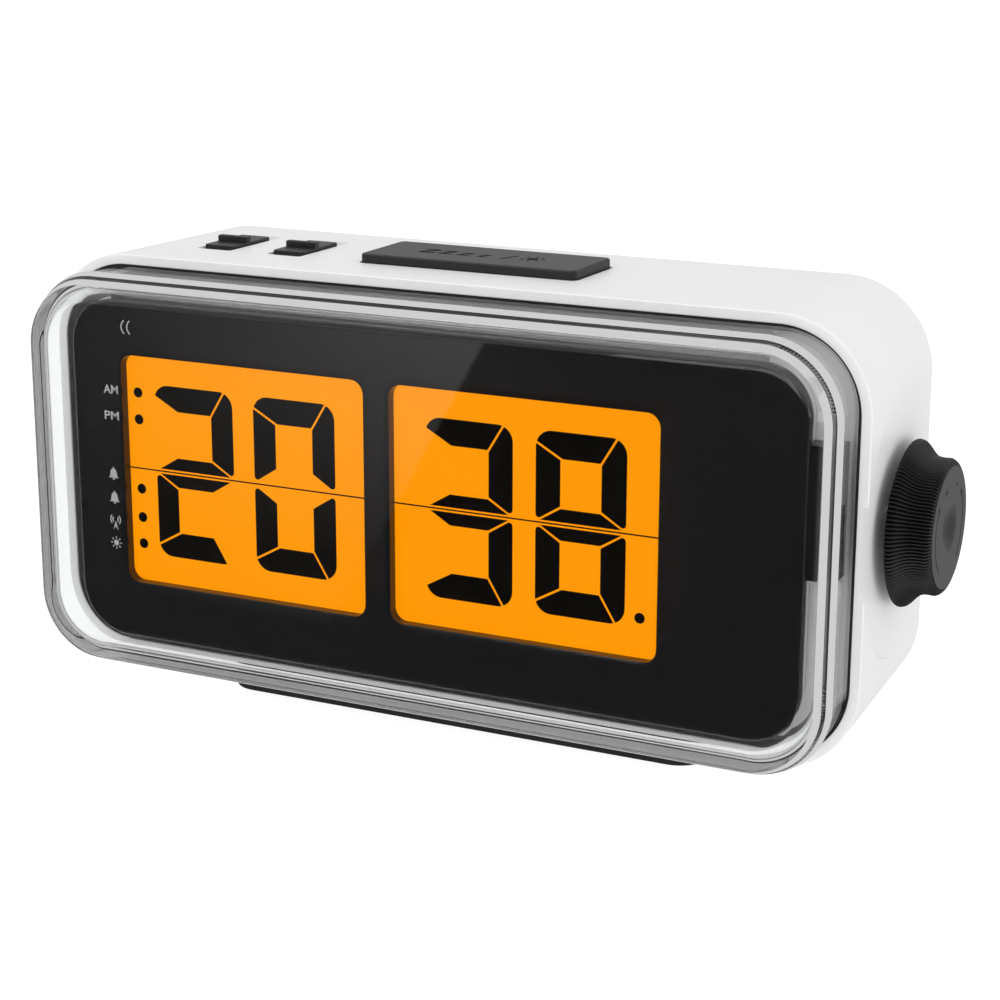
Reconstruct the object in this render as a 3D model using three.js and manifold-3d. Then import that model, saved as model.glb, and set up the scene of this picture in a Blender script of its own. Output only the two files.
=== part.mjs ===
// Bedside alarm clock with a two-window display, assembled from separate pieces.
// Millimetres, +Z up. The display faces -Y and the dial is on the +X side.
// The origin is on the underside of the foot pad, where the clock stands, under the middle of the housing.

import * as THREE from "three";
import * as BufferGeometryUtils from "three/addons/utils/BufferGeometryUtils.js";
import Module from "manifold-3d";

const wasm = await Module();
wasm.setup();

// ---------- driving dimensions ----------
const GAP = 0.3;                 // clearance kept between neighbouring pieces
const BODY_Z = 41;               // height of the body's centre line above the table

const FRONT = { w: 72.6, h: 35.6, r: 14.8 };    // half width, half height, corner radius at the rim
const BACK = { w: 70.8, h: 35.4, r: 13.6 };     // the same at the back edge
const RIM_Y = -18.4;
const BACK_Y = 19.6;
const RIM_OPENING = { w: 70.87, h: 34, r: 12.4 };
const LEDGE_Y = -12.4;           // depth of the front pocket that takes the lens
const CAVITY = { w: 68.4, h: 32.9, r: 11.5 };
const COVER_LEDGE_Y = 17.2;      // depth of the rear pocket that takes the rear cover

const LENS = { w: 70.4, h: 33.4, r: 12.1 };
const LENS_FRONT_Y = -30.45;
const LENS_BACK_Y = -15;
const LENS_WALL = 2.4;
const LENS_EDGE_ROUND = 3.9;

const PANEL = { w: 65.3, h: 29.8, r: 9 };
const PANEL_Y = -23.1;
const PANEL_THICK = 2;
const PANEL_FOLD = { w: 57, z0: 29.5, z1: 30.7, back: -18.3 };
const PANEL_TAB = { x0: 65, x1: 67.6, z0: -3, z1: 17.5, back: -18.6 };
const PANEL_TAB_SET_BACK = 0.6;
const WINDOW = { w: 23.15, h: 19.75, r: 2.2 };
const WINDOW_X = { hours: -32.45, minutes: 18.5 };

const LCD = { w: 24.3, h: 21, thick: 2.4 };
const LCD_X = { hours: -32.7, minutes: 18.7 };
const LCD_Y = -20.8;
const GUIDE = { w: 23.3, h: 18.5, thick: 2.4 };
const REFLECTOR_THICK = 0.4;
const ZEBRA = { w: 22, z0: -20.9, z1: -19.1 };
const LAMP = { w: 1.5, deep: 1.6, z0: 18.9, z1: 20.5 };
const FRAME = { w: 64.6, h: 29.2, r: 8.6, front: -20.7, back: -14 };
const FRAME_FLANGE = { w: 70.4, h: 33.5, r: 12.1 };

const SNOOZE = { x: 0.6, y: 0, w: 19.4, d: 7.4, r: 1.1, rise: 1.45 };
const SLIDER_X = { alarm_1: -47.4, alarm_2: -33.8 };
const SLIDER = { w: 2.95, front: -5.3, back: 6.5, rise: 0.4, travel: 3 };
const SLIDER_RIB = { front: -1, back: 0.2, rise: 1 };
const SLIDER_POCKET = { w: 3.35, front: -7.1, back: 9.9, depth: 0.8 };
const STEM = { w: 1.5, front: -3, back: 1 };

const DIAL = { y: 1.8, z: 41.4 };
const DISH = { radius: 19.5, depth: 0.7, sideX: 71.65 };
const DIAL_SKIRT_X = 73;
const DIAL_FACE_X = 79.5;
const SHAFT_R = 3;
const BUSHING_R = 4.5;

const FOOT = { w: 44.6, front: -12.2, back: 17, r: 6, top: 5.1, bottom: 1.3 };
const PAD_TOP = 1;
const PAD_INSET = 0.3;

const CELL = { r: 7.1, length: 50, pitch: 14.9, y: 9.3, z: 40.9 };
const TRAY = { x0: -59.2, x1: 2.8, z0: 17, z1: 64.8, y0: 0.5, wall: 1.4 };
const DOOR = { x0: -57.5, x1: 1.1, z0: 18.8, z1: 63, y0: 17.9 };
const NOTCH = { x0: -34, x1: -22, depth: 0.7 };

const BOARD_Y = -11.6;
const BOARD_THICK = 1.6;
const MAIN_BOARD = { w: 59.5, h: 28, r: 3, x: -3 };
const BOARD_SCREW = { left: -59.6, right: 54, z: 24.5, head: 2.2, shank: 1, length: 6 };
const CHIP = { x0: 10, x1: 22, half: 6, thick: 1.5 };
const CRYSTAL = { w: 4, h: 1.6, r: 1.5, x: 34, thick: 3 };
const TOP_BOARD = { x0: -53, x1: 31, y0: -9.6, y1: 9.5 };
const TOP_SCREWS = [[-25, 6], [27, -6]];
const FOOT_SCREW = { x: 30, y: 7 };
const TOP_BOARD_Z = 66.8;
const COVER_SCREW = { x: 63.2, z: 27.8 };
const BOSS_R = 3.4;
const PILOT_R = 1.4;             // radius of a screw's hole in a boss or a board
const REAR_POCKET = { w: 69.5, h: 34.1, r: 12.2 };
const REAR_COVER = { w: 69.2, h: 33.8, r: 11.9 };
const SCREW_RECESS = 1.3;
const GRILLE = { x: 34, pitch: 3, half: 0.6 };

// ---------- materials ----------
const material = (color, roughness, metalness = 0) =>
  new THREE.MeshStandardMaterial({ color, roughness, metalness });
const whiteAbs = () => material(0xf0f0ee, 0.35);
const blackAbs = () => material(0x1b1b1c, 0.5);
const clearAcrylic = () => {
  const clear = material(0xf4f8fa, 0.05);
  clear.transparent = true;
  clear.opacity = 0.3;
  return clear;
};
const amberGlass = () => material(0xff9800, 0.2);
const greenBoard = () => material(0x1f5a35, 0.5);
const steel = () => material(0xb8babd, 0.3, 1);
const rubber = () => material(0x161616, 0.85);

// ---------- shape helpers ----------
function roundedShape({ w, h, r }, x = 0, z = 0) {
  const shape = new THREE.Shape();
  shape.moveTo(x - w + r, z - h);
  shape.lineTo(x + w - r, z - h);
  shape.absarc(x + w - r, z - h + r, r, -Math.PI / 2, 0);
  shape.lineTo(x + w, z + h - r);
  shape.absarc(x + w - r, z + h - r, r, 0, Math.PI / 2);
  shape.lineTo(x - w + r, z + h);
  shape.absarc(x - w + r, z + h - r, r, Math.PI / 2, Math.PI);
  shape.lineTo(x - w, z - h + r);
  shape.absarc(x - w + r, z - h + r, r, Math.PI, Math.PI * 1.5);
  return shape;
}

// A slab whose outline lies in the XZ plane, centred on the body, from y0 back to y1.
function frontSlab(outline, y0, y1, { x = 0, z = BODY_Z, segments = 6, bevel = 0 } = {}) {
  const geometry = new THREE.ExtrudeGeometry(roundedShape(outline), {
    depth: y1 - y0 - 2 * bevel,
    curveSegments: segments,
    bevelEnabled: bevel > 0,
    bevelThickness: bevel,
    bevelSize: bevel,
    bevelOffset: -bevel,
    bevelSegments: 4,
  });
  geometry.rotateX(Math.PI / 2);
  geometry.translate(x, y1 - bevel, z);
  return geometry;
}

// A slab whose outline lies in the XY plane, from z0 up to z1.
function flatSlab(outline, z0, z1, { x = 0, y = 0, segments = 4, bevel = 0 } = {}) {
  const geometry = new THREE.ExtrudeGeometry(roundedShape(outline), {
    depth: z1 - z0 - 2 * bevel,
    curveSegments: segments,
    bevelEnabled: bevel > 0,
    bevelThickness: bevel,
    bevelSize: bevel,
    bevelOffset: -bevel,
    bevelSegments: 2,
  });
  geometry.translate(x, y, z0 + bevel);
  return geometry;
}

function box(x0, x1, y0, y1, z0, z1) {
  const geometry = new THREE.BoxGeometry(x1 - x0, y1 - y0, z1 - z0);
  geometry.translate((x0 + x1) / 2, (y0 + y1) / 2, (z0 + z1) / 2);
  return geometry;
}

function rodX(r, x0, x1, y, z, sides = 24) {
  const geometry = new THREE.CylinderGeometry(r, r, x1 - x0, sides);
  geometry.rotateZ(-Math.PI / 2);
  geometry.translate((x0 + x1) / 2, y, z);
  return geometry;
}

function rodY(r, y0, y1, x, z, sides = 20) {
  const geometry = new THREE.CylinderGeometry(r, r, y1 - y0, sides);
  geometry.translate(x, (y0 + y1) / 2, z);
  return geometry;
}

function rodZ(r, z0, z1, x, y, sides = 20) {
  const geometry = new THREE.CylinderGeometry(r, r, z1 - z0, sides);
  geometry.rotateX(Math.PI / 2);
  geometry.translate(x, y, (z0 + z1) / 2);
  return geometry;
}

// A turned piece on an axis along X: each profile point is [x, radius].
function turnedX(profile, y, z, sides) {
  const points = profile.map(([along, radius]) => new THREE.Vector2(radius, along));
  const geometry = new THREE.LatheGeometry(points, sides);
  geometry.rotateZ(-Math.PI / 2);
  geometry.translate(0, y, z);
  return geometry;
}

function solid(geometry) {
  const bare = geometry.clone();
  bare.deleteAttribute("normal");
  bare.deleteAttribute("uv");
  const merged = BufferGeometryUtils.mergeVertices(bare, 1e-4);
  const vertProperties = new Float32Array(merged.attributes.position.array);
  const triVerts = new Uint32Array(merged.index.array);
  return new wasm.Manifold(new wasm.Mesh({ numProp: 3, vertProperties, triVerts }));
}

function cut(body, ...tools) {
  return tools.reduce((left, tool) => left.subtract(solid(tool)), body);
}

function join(body, ...pieces) {
  return pieces.reduce((whole, piece) => whole.add(solid(piece)), body);
}

function geometryOf(body) {
  const mesh = body.getMesh();
  const geometry = new THREE.BufferGeometry();
  const positions = new Float32Array(mesh.vertProperties);
  geometry.setAttribute("position", new THREE.BufferAttribute(positions, 3));
  geometry.setIndex(new THREE.BufferAttribute(new Uint32Array(mesh.triVerts), 1));
  geometry.computeVertexNormals();
  return geometry;
}

const group = new THREE.Group();

function place(name, shape, finish, parent = group) {
  const geometry = shape.isBufferGeometry ? geometryOf(solid(shape)) : geometryOf(shape);
  const mesh = new THREE.Mesh(geometry, finish);
  mesh.name = name;
  parent.add(mesh);
}

// A pan-head screw along Y with its head towards +Y.
function screwY(x, z, headY, length, headR = 2.6, shankR = 1.1) {
  const head = solid(rodY(headR, headY, headY + 1.1, x, z, 16));
  const slot = box(x - headR, x + headR, headY + 0.6, headY + 2, z - 0.3, z + 0.3);
  return cut(join(head, rodY(shankR, headY - length, headY + 0.2, x, z, 10)), slot);
}

// A pan-head screw along Z with its head down.
function screwUp(x, y, headZ, length, headR = 2.4, shankR = 1.1) {
  const head = solid(rodZ(headR, headZ - 1.1, headZ, x, y, 16));
  return join(head, rodZ(shankR, headZ - 0.2, headZ + length, x, y, 10));
}

// ---------- housing: one moulded sleeve ----------
function taperedSleeve() {
  const geometry = frontSlab(FRONT, RIM_Y, BACK_Y, { segments: 8, bevel: 0.5 });
  const position = geometry.attributes.position;
  for (let i = 0; i < position.count; i += 1) {
    const along = (position.getY(i) - RIM_Y) / (BACK_Y - RIM_Y);
    position.setX(i, position.getX(i) * (1 + along * (BACK.w / FRONT.w - 1)));
    const height = position.getZ(i) - BODY_Z;
    position.setZ(i, BODY_Z + height * (1 + along * (BACK.h / FRONT.h - 1)));
  }
  return geometry;
}

// The shallow dish that the dial sits in: a ball much larger than the body presses into the side.
function dialDish() {
  const { radius, depth, sideX } = DISH;
  const sphereR = (radius * radius + depth * depth) / (2 * depth);
  const start = Math.asin((radius + 1.5) / sphereR);
  const profile = [];
  const steps = 6;
  for (let i = 0; i <= steps; i += 1) {
    const angle = start * (i / steps);
    profile.push([sideX - depth + sphereR * (1 - Math.cos(angle)), sphereR * Math.sin(angle)]);
  }
  profile.push([sideX + 6, sphereR * Math.sin(start)]);
  profile.push([sideX + 6, 0]);
  return turnedX(profile, DIAL.y, DIAL.z, 40);
}

function housing() {
  const top = BODY_Z + FRONT.h;
  let body = solid(taperedSleeve());
  body = cut(
    body,
    frontSlab(RIM_OPENING, RIM_Y - 1, LEDGE_Y, { segments: 8 }),
    frontSlab(CAVITY, LEDGE_Y - 1, BACK_Y + 1, { segments: 8 }),
    frontSlab(REAR_POCKET, COVER_LEDGE_Y, BACK_Y + 1, { segments: 8 }),
  );
  for (const sx of [-1, 1]) {
    for (const sz of [-1, 1]) {
      const x = sx * COVER_SCREW.x;
      const z = BODY_Z + sz * COVER_SCREW.z;
      body = join(body, rodY(BOSS_R, 2, COVER_LEDGE_Y, x, z));
      body = cut(body, rodY(PILOT_R, 8, COVER_LEDGE_Y + 1, x, z, 10));
    }
    const footX = sx * FOOT_SCREW.x;
    body = join(body, rodZ(3.2, BODY_Z - FRONT.h + 1, 14, footX, FOOT_SCREW.y));
    body = cut(body, rodZ(PILOT_R, 0, 12.5, footX, FOOT_SCREW.y, 10));
  }
  for (const [x, y] of TOP_SCREWS) {
    body = join(body, rodZ(2.6, TOP_BOARD_Z + BOARD_THICK + GAP, top - 1.2, x, y));
    body = cut(body, rodZ(PILOT_R, 60, 73, x, y, 10));
  }
  body = cut(body, flatSlab({ w: SNOOZE.w + 0.35, h: SNOOZE.d + 0.35, r: 1.4 }, 66, 90,
    { x: SNOOZE.x, y: SNOOZE.y }));
  const pocketMid = (SLIDER_POCKET.front + SLIDER_POCKET.back) / 2;
  const pocketHalf = (SLIDER_POCKET.back - SLIDER_POCKET.front) / 2;
  for (const x of Object.values(SLIDER_X)) {
    body = cut(
      body,
      flatSlab({ w: SLIDER_POCKET.w, h: pocketHalf, r: 0.6 }, top - SLIDER_POCKET.depth, 90,
        { x, y: pocketMid }),
      box(x - STEM.w - 0.35, x + STEM.w + 0.35, STEM.front - 0.4, STEM.back + SLIDER.travel + 0.4, 66, 90),
    );
  }
  return cut(body, dialDish(), rodX(BUSHING_R + GAP, 60, 90, DIAL.y, DIAL.z));
}
place("housing", housing(), whiteAbs());

// ---------- lens: a clear tray pushed in from the front ----------
function lens() {
  const outer = frontSlab(LENS, LENS_FRONT_Y, LENS_BACK_Y + 2 * LENS_EDGE_ROUND,
    { segments: 6, bevel: LENS_EDGE_ROUND });
  const inner = { w: LENS.w - LENS_WALL, h: LENS.h - LENS_WALL, r: LENS.r - LENS_WALL };
  return cut(
    solid(outer),
    box(-90, 90, LENS_BACK_Y, 30, -10, 100),
    frontSlab(inner, LENS_FRONT_Y + LENS_WALL, LENS_BACK_Y + 1, { segments: 6 }),
  );
}
place("lens_cover", lens(), clearAcrylic());

// ---------- face panel with its two windows ----------
function facePanel() {
  let panel = solid(frontSlab(PANEL, PANEL_Y, PANEL_Y + PANEL_THICK));
  for (const x of Object.values(WINDOW_X)) {
    panel = cut(panel, frontSlab(WINDOW, PANEL_Y - 1, PANEL_Y + PANEL_THICK + 1, { x }));
  }
  const tabY = PANEL_Y + PANEL_TAB_SET_BACK;
  const fold = PANEL_FOLD;
  const tab = PANEL_TAB;
  return join(
    panel,
    box(-fold.w, fold.w, tabY, fold.back, BODY_Z + fold.z0, BODY_Z + fold.z1),
    box(tab.x0, tab.x1, tabY, tab.back, BODY_Z + tab.z0, BODY_Z + tab.z1),
  );
}
place("face_panel", facePanel(), material(0x1f1f20, 0.25));

// ---------- display stack: glass, light guides, reflectors, lamps and rubber connectors ----------
const GUIDE_Y = LCD_Y + LCD.thick + GAP;
const REFLECTOR_Y = GUIDE_Y + GUIDE.thick + GAP;
for (const [side, x] of Object.entries(LCD_X)) {
  place(`lcd_${side}`, frontSlab({ w: LCD.w, h: LCD.h, r: 0.8 }, LCD_Y, LCD_Y + LCD.thick,
    { x, segments: 2 }), amberGlass());
  place(`light_guide_${side}`, frontSlab({ w: GUIDE.w, h: GUIDE.h, r: 0.5 }, GUIDE_Y,
    GUIDE_Y + GUIDE.thick, { x, segments: 1 }), material(0xf6f6f2, 0.2));
  place(`reflector_${side}`, frontSlab({ w: GUIDE.w, h: GUIDE.h, r: 0.5 }, REFLECTOR_Y,
    REFLECTOR_Y + REFLECTOR_THICK, { x, segments: 1 }), material(0xffffff, 0.4));
  place(`zebra_strip_${side}`, box(x - ZEBRA.w, x + ZEBRA.w, GUIDE_Y, BOARD_Y - GAP,
    BODY_Z + ZEBRA.z0, BODY_Z + ZEBRA.z1), material(0x5c5c5e, 0.8));
  place(`backlight_led_${side}`, box(x - LAMP.w, x + LAMP.w, GUIDE_Y + GAP, GUIDE_Y + GAP + LAMP.deep,
    BODY_Z + LAMP.z0, BODY_Z + LAMP.z1), material(0xffe9b0, 0.3));
}

function displayFrame() {
  let frame = join(
    solid(frontSlab(FRAME, FRAME.front, FRAME.back)),
    frontSlab(FRAME_FLANGE, LENS_BACK_Y + GAP, LEDGE_Y - GAP),
  );
  for (const x of Object.values(LCD_X)) {
    frame = cut(frame, frontSlab({ w: LCD.w + GAP, h: LCD.h + GAP, r: 0.9 }, -30, 0,
      { x, segments: 2 }));
  }
  for (const [x, z] of boardScrews()) {
    frame = join(frame, rodY(2.6, LEDGE_Y - 1, BOARD_Y - GAP, x, z));
    frame = cut(frame, rodY(1.3, -16, 0, x, z, 10));
  }
  return frame;
}

function boardScrews() {
  const points = [];
  for (const x of [BOARD_SCREW.left, BOARD_SCREW.right]) {
    points.push([x, BODY_Z - BOARD_SCREW.z], [x, BODY_Z + BOARD_SCREW.z]);
  }
  return points;
}
place("display_frame", displayFrame(), whiteAbs());

// ---------- main board and what is on it ----------
function mainBoard() {
  let board = solid(frontSlab(MAIN_BOARD, BOARD_Y, BOARD_Y + BOARD_THICK,
    { x: MAIN_BOARD.x, segments: 3 }));
  for (const [x, z] of boardScrews()) board = cut(board, rodY(1.4, -20, 0, x, z, 10));
  return board;
}
place("main_board", mainBoard(), greenBoard());
boardScrews().forEach(([x, z], index) => {
  const headY = BOARD_Y + BOARD_THICK + GAP;
  const { length, head, shank } = BOARD_SCREW;
  place(`board_screw_${index + 1}`, screwY(x, z, headY, length, head, shank), steel());
});
const CHIP_Y = BOARD_Y + BOARD_THICK + GAP;
place("clock_chip", box(CHIP.x0, CHIP.x1, CHIP_Y, CHIP_Y + CHIP.thick,
  BODY_Z - CHIP.half, BODY_Z + CHIP.half), blackAbs());
place("crystal", frontSlab(CRYSTAL, CHIP_Y, CHIP_Y + CRYSTAL.thick,
  { x: CRYSTAL.x, segments: 3 }), steel());

// ---------- top board with the domes and the two slide switches ----------
const TOP_BOARD_TOP = TOP_BOARD_Z + BOARD_THICK;
function switchBoard() {
  const { x0, x1, y0, y1 } = TOP_BOARD;
  const board = solid(box(x0, x1, y0, y1, TOP_BOARD_Z, TOP_BOARD_TOP));
  return cut(board, ...TOP_SCREWS.map(([x, y]) => rodZ(PILOT_R, 60, 73, x, y, 10)));
}
place("switch_board", switchBoard(), greenBoard());
TOP_SCREWS.forEach(([x, y], index) => {
  place(`switch_board_screw_${index + 1}`, screwUp(x, y, TOP_BOARD_Z - GAP, 6), steel());
});

// A silicone dome: a hollow-looking cone that the snooze bar squeezes.
function dome(x) {
  const z0 = TOP_BOARD_TOP + GAP;
  const profile = [[0, 0], [4.2, 0], [4.2, 0.6], [2.6, 2.2], [2.6, 3.1], [0, 3.1]];
  const geometry = new THREE.LatheGeometry(profile.map(([r, h]) => new THREE.Vector2(r, h)), 20);
  geometry.rotateX(Math.PI / 2);
  geometry.translate(x, SNOOZE.y, z0);
  return geometry;
}
place("snooze_dome_left", dome(SNOOZE.x - 11.5), material(0xd8d6cf, 0.7));
place("snooze_dome_right", dome(SNOOZE.x + 11.5), material(0xd8d6cf, 0.7));

const BODY_TOP = BODY_Z + FRONT.h;
function snoozeBar() {
  const flangeTop = BODY_Z + CAVITY.h - GAP;
  const cap = flatSlab({ w: SNOOZE.w, h: SNOOZE.d, r: SNOOZE.r }, flangeTop - 0.6,
    BODY_TOP + SNOOZE.rise, { x: SNOOZE.x, y: SNOOZE.y, segments: 5, bevel: 0.4 });
  const flange = flatSlab({ w: SNOOZE.w + 1.4, h: SNOOZE.d + 1.2, r: 2.6 }, flangeTop - 1.5,
    flangeTop, { x: SNOOZE.x, y: SNOOZE.y });
  return join(solid(cap), flange);
}
place("snooze_bar", snoozeBar(), blackAbs());

function slider(x) {
  const plateZ0 = BODY_TOP - SLIDER_POCKET.depth + 0.35;
  const plateTop = BODY_TOP + SLIDER.rise;
  const mid = (SLIDER.front + SLIDER.back) / 2;
  const plate = flatSlab({ w: SLIDER.w, h: (SLIDER.back - SLIDER.front) / 2, r: 0.5 },
    plateZ0, plateTop, { x, y: mid });
  const rib = box(x - SLIDER.w, x + SLIDER.w, SLIDER_RIB.front, SLIDER_RIB.back,
    plateTop - 0.2, plateTop + SLIDER_RIB.rise);
  const stem = box(x - STEM.w, x + STEM.w, STEM.front, STEM.back, 70.6, plateZ0 + 0.2);
  return join(solid(plate), rib, stem);
}

function slideSwitch(x) {
  const z0 = TOP_BOARD_TOP + GAP;
  const body = solid(box(x - 4, x + 4, -7, 8, z0, z0 + 3.9));
  return cut(body, box(x - STEM.w - 0.35, x + STEM.w + 0.35, STEM.front - 0.4,
    STEM.back + SLIDER.travel + 0.4, z0 + 1.5, z0 + 9));
}
for (const [name, x] of Object.entries(SLIDER_X)) {
  place(`${name}_slider`, slider(x), blackAbs());
  place(`${name}_switch`, slideSwitch(x), steel());
}

// ---------- dial: a turn-and-push encoder through the side wall ----------
const ENCODER_X = 57;
function encoderBody() {
  const half = 6;
  const block = box(ENCODER_X, 65, DIAL.y - half, DIAL.y + half, DIAL.z - half, DIAL.z + half);
  return cut(
    join(solid(block), rodX(BUSHING_R, 64, 73.8, DIAL.y, DIAL.z)),
    rodX(SHAFT_R + 0.35, 50, 90, DIAL.y, DIAL.z),
  );
}
place("encoder_body", encoderBody(), steel());
place("encoder_board", box(55.1, 56.7, BOARD_Y + BOARD_THICK + GAP, DIAL.y + 9,
  DIAL.z - 10, DIAL.z + 10), greenBoard());
place("encoder_nut", cut(solid(rodX(5.6, 71.95, 73.4, DIAL.y, DIAL.z, 6)),
  rodX(BUSHING_R + GAP, 60, 90, DIAL.y, DIAL.z)), steel());
place("encoder_plunger", rodX(2.6, 57.7, 59.2, DIAL.y, DIAL.z, 16), blackAbs());
place("encoder_shaft", rodX(SHAFT_R, 59.5, 77.2, DIAL.y, DIAL.z), steel());

function dialKnob() {
  const profile = [
    [DIAL_SKIRT_X, 9.6], [DIAL_SKIRT_X, 12.9], [73.35, 13.15], [74, 13], [74.7, 12.3],
    [75.4, 11.55], [76.1, 11], [76.9, 10.75], [77.8, 10.7], [78.5, 10.75], [79, 10.5],
    [79.35, 10.1], [DIAL_FACE_X, 9.6], [DIAL_FACE_X, 4.2], [78.95, 3.4], [78.65, 2], [78.5, 0],
    [77.5, 0], [77.5, SHAFT_R + GAP], [74.9, SHAFT_R + GAP], [74.9, 5.4], [77.2, 5.4], [77.2, 9.2],
    [74.4, 9.6],
  ];
  return turnedX([...profile, profile[0]], DIAL.y, DIAL.z, 60);
}
place("dial_knob", dialKnob(), blackAbs());

// ---------- rear cover, battery bay and door ----------
function rearCover() {
  let cover = solid(frontSlab(REAR_COVER, COVER_LEDGE_Y + GAP, BACK_Y));
  cover = cut(cover, box(DOOR.x0 - 0.4, DOOR.x1 + 0.4, 10, 30, DOOR.z0 - 0.4, DOOR.z1 + 0.4));
  for (const sx of [-1, 1]) {
    for (const sz of [-1, 1]) {
      const x = sx * COVER_SCREW.x;
      const z = BODY_Z + sz * COVER_SCREW.z;
      cover = cut(cover, rodY(1.5, 10, 30, x, z, 12), rodY(3, BACK_Y - SCREW_RECESS, 30, x, z));
    }
  }
  for (let row = -2; row <= 2; row += 1) {
    const half = row % 2 === 0 ? 6 : 7.5;
    const z = BODY_Z + row * GRILLE.pitch;
    cover = cut(cover, box(GRILLE.x - half, GRILLE.x + half, 10, 30, z - GRILLE.half, z + GRILLE.half));
  }
  return cover;
}
place("rear_cover", rearCover(), whiteAbs());
let screwNumber = 0;
for (const sx of [-1, 1]) {
  for (const sz of [-1, 1]) {
    screwNumber += 1;
    place(`cover_screw_${screwNumber}`, screwY(sx * COVER_SCREW.x, BODY_Z + sz * COVER_SCREW.z,
      BACK_Y - SCREW_RECESS + GAP / 2, 8), steel());
  }
}
place("battery_door", cut(
  solid(box(DOOR.x0, DOOR.x1, DOOR.y0, BACK_Y, DOOR.z0, DOOR.z1)),
  box(NOTCH.x0, NOTCH.x1, BACK_Y - NOTCH.depth, 30, DOOR.z1 - 4, DOOR.z1 - 2.2),
), whiteAbs());

function batteryTray() {
  const { x0, x1, z0, z1, y0, wall } = TRAY;
  const block = solid(box(x0, x1, y0, COVER_LEDGE_Y, z0, z1));
  return cut(block, box(x0 + wall, x1 - wall, y0 + wall, 30, z0 + wall, z1 - wall));
}
place("battery_tray", batteryTray(), blackAbs());

const BAY = { x0: TRAY.x0 + TRAY.wall, x1: TRAY.x1 - TRAY.wall };
for (let i = 0; i < 3; i += 1) {
  const z = CELL.z + (i - 1) * CELL.pitch;
  const flip = i === 1;
  const plateX0 = flip ? BAY.x1 - GAP - 0.5 : BAY.x0 + GAP;
  const springX0 = flip ? BAY.x0 + GAP : BAY.x1 - GAP - 5.4;
  const cellX0 = flip ? BAY.x1 - GAP * 2 - 0.5 - CELL.length - 1 : BAY.x0 + GAP * 2 + 0.5 + 1;
  const noseX0 = flip ? cellX0 + CELL.length - 0.3 : cellX0 - 1;
  place(`battery_cell_${i + 1}`, join(
    solid(rodX(CELL.r, cellX0, cellX0 + CELL.length, CELL.y, z, 24)),
    rodX(2.7, noseX0, noseX0 + 1.3, CELL.y, z, 16),
  ), material(0x3d6f8f, 0.35, 0.4));
  place(`battery_plate_${i + 1}`, box(plateX0, plateX0 + 0.5, CELL.y - 4.5, CELL.y + 4.5, z - 4.5, z + 4.5),
    steel());
  const wide = flip ? 4.4 : 2.4;
  const narrow = flip ? 2.4 : 4.4;
  place(`battery_spring_${i + 1}`, turnedX(
    [[springX0, 0], [springX0, wide], [springX0 + 5.4, narrow], [springX0 + 5.4, 0]],
    CELL.y, z, 16), steel());
}

// ---------- sounder and time-signal antenna ----------
place("sounder", join(solid(rodY(10, 13.4, COVER_LEDGE_Y, GRILLE.x, BODY_Z, 28)),
  rodY(6, 11.4, 14, GRILLE.x, BODY_Z, 20)), blackAbs());
const ANTENNA = { r: 4, x0: 8, x1: 57, coilX0: 14, coilX1: 32, y: -3.5, z: 13.5 };
place("antenna_rod", rodX(ANTENNA.r, ANTENNA.x0, ANTENNA.x1, ANTENNA.y, ANTENNA.z),
  material(0x3b3a3c, 0.6));
place("antenna_coil", cut(
  solid(rodX(ANTENNA.r + 1, ANTENNA.coilX0, ANTENNA.coilX1, ANTENNA.y, ANTENNA.z)),
  rodX(ANTENNA.r + GAP, 0, 60, ANTENNA.y, ANTENNA.z),
), material(0xb06a33, 0.4, 0.6));

// ---------- foot ----------
const footMid = (FOOT.front + FOOT.back) / 2;
const footHalf = (FOOT.back - FOOT.front) / 2;
place("base_foot", cut(
  solid(flatSlab({ w: FOOT.w, h: footHalf, r: FOOT.r }, FOOT.bottom, FOOT.top, { y: footMid })),
  ...[-FOOT_SCREW.x, FOOT_SCREW.x].flatMap((x) => [
    rodZ(1.5, 0, 10, x, FOOT_SCREW.y, 12),
    rodZ(2.8, 0, 3, x, FOOT_SCREW.y),
  ]),
), blackAbs());
place("foot_pad", flatSlab(
  { w: FOOT.w - PAD_INSET, h: footHalf - PAD_INSET, r: FOOT.r - PAD_INSET },
  0, PAD_TOP, { y: footMid, segments: 2 },
), rubber());
place("foot_screw_left", screwUp(-FOOT_SCREW.x, FOOT_SCREW.y, 2.7, 8), steel());
place("foot_screw_right", screwUp(FOOT_SCREW.x, FOOT_SCREW.y, 2.7, 8), steel());

export default group;
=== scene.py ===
import math
import bpy
from mathutils import Matrix, Vector


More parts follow.
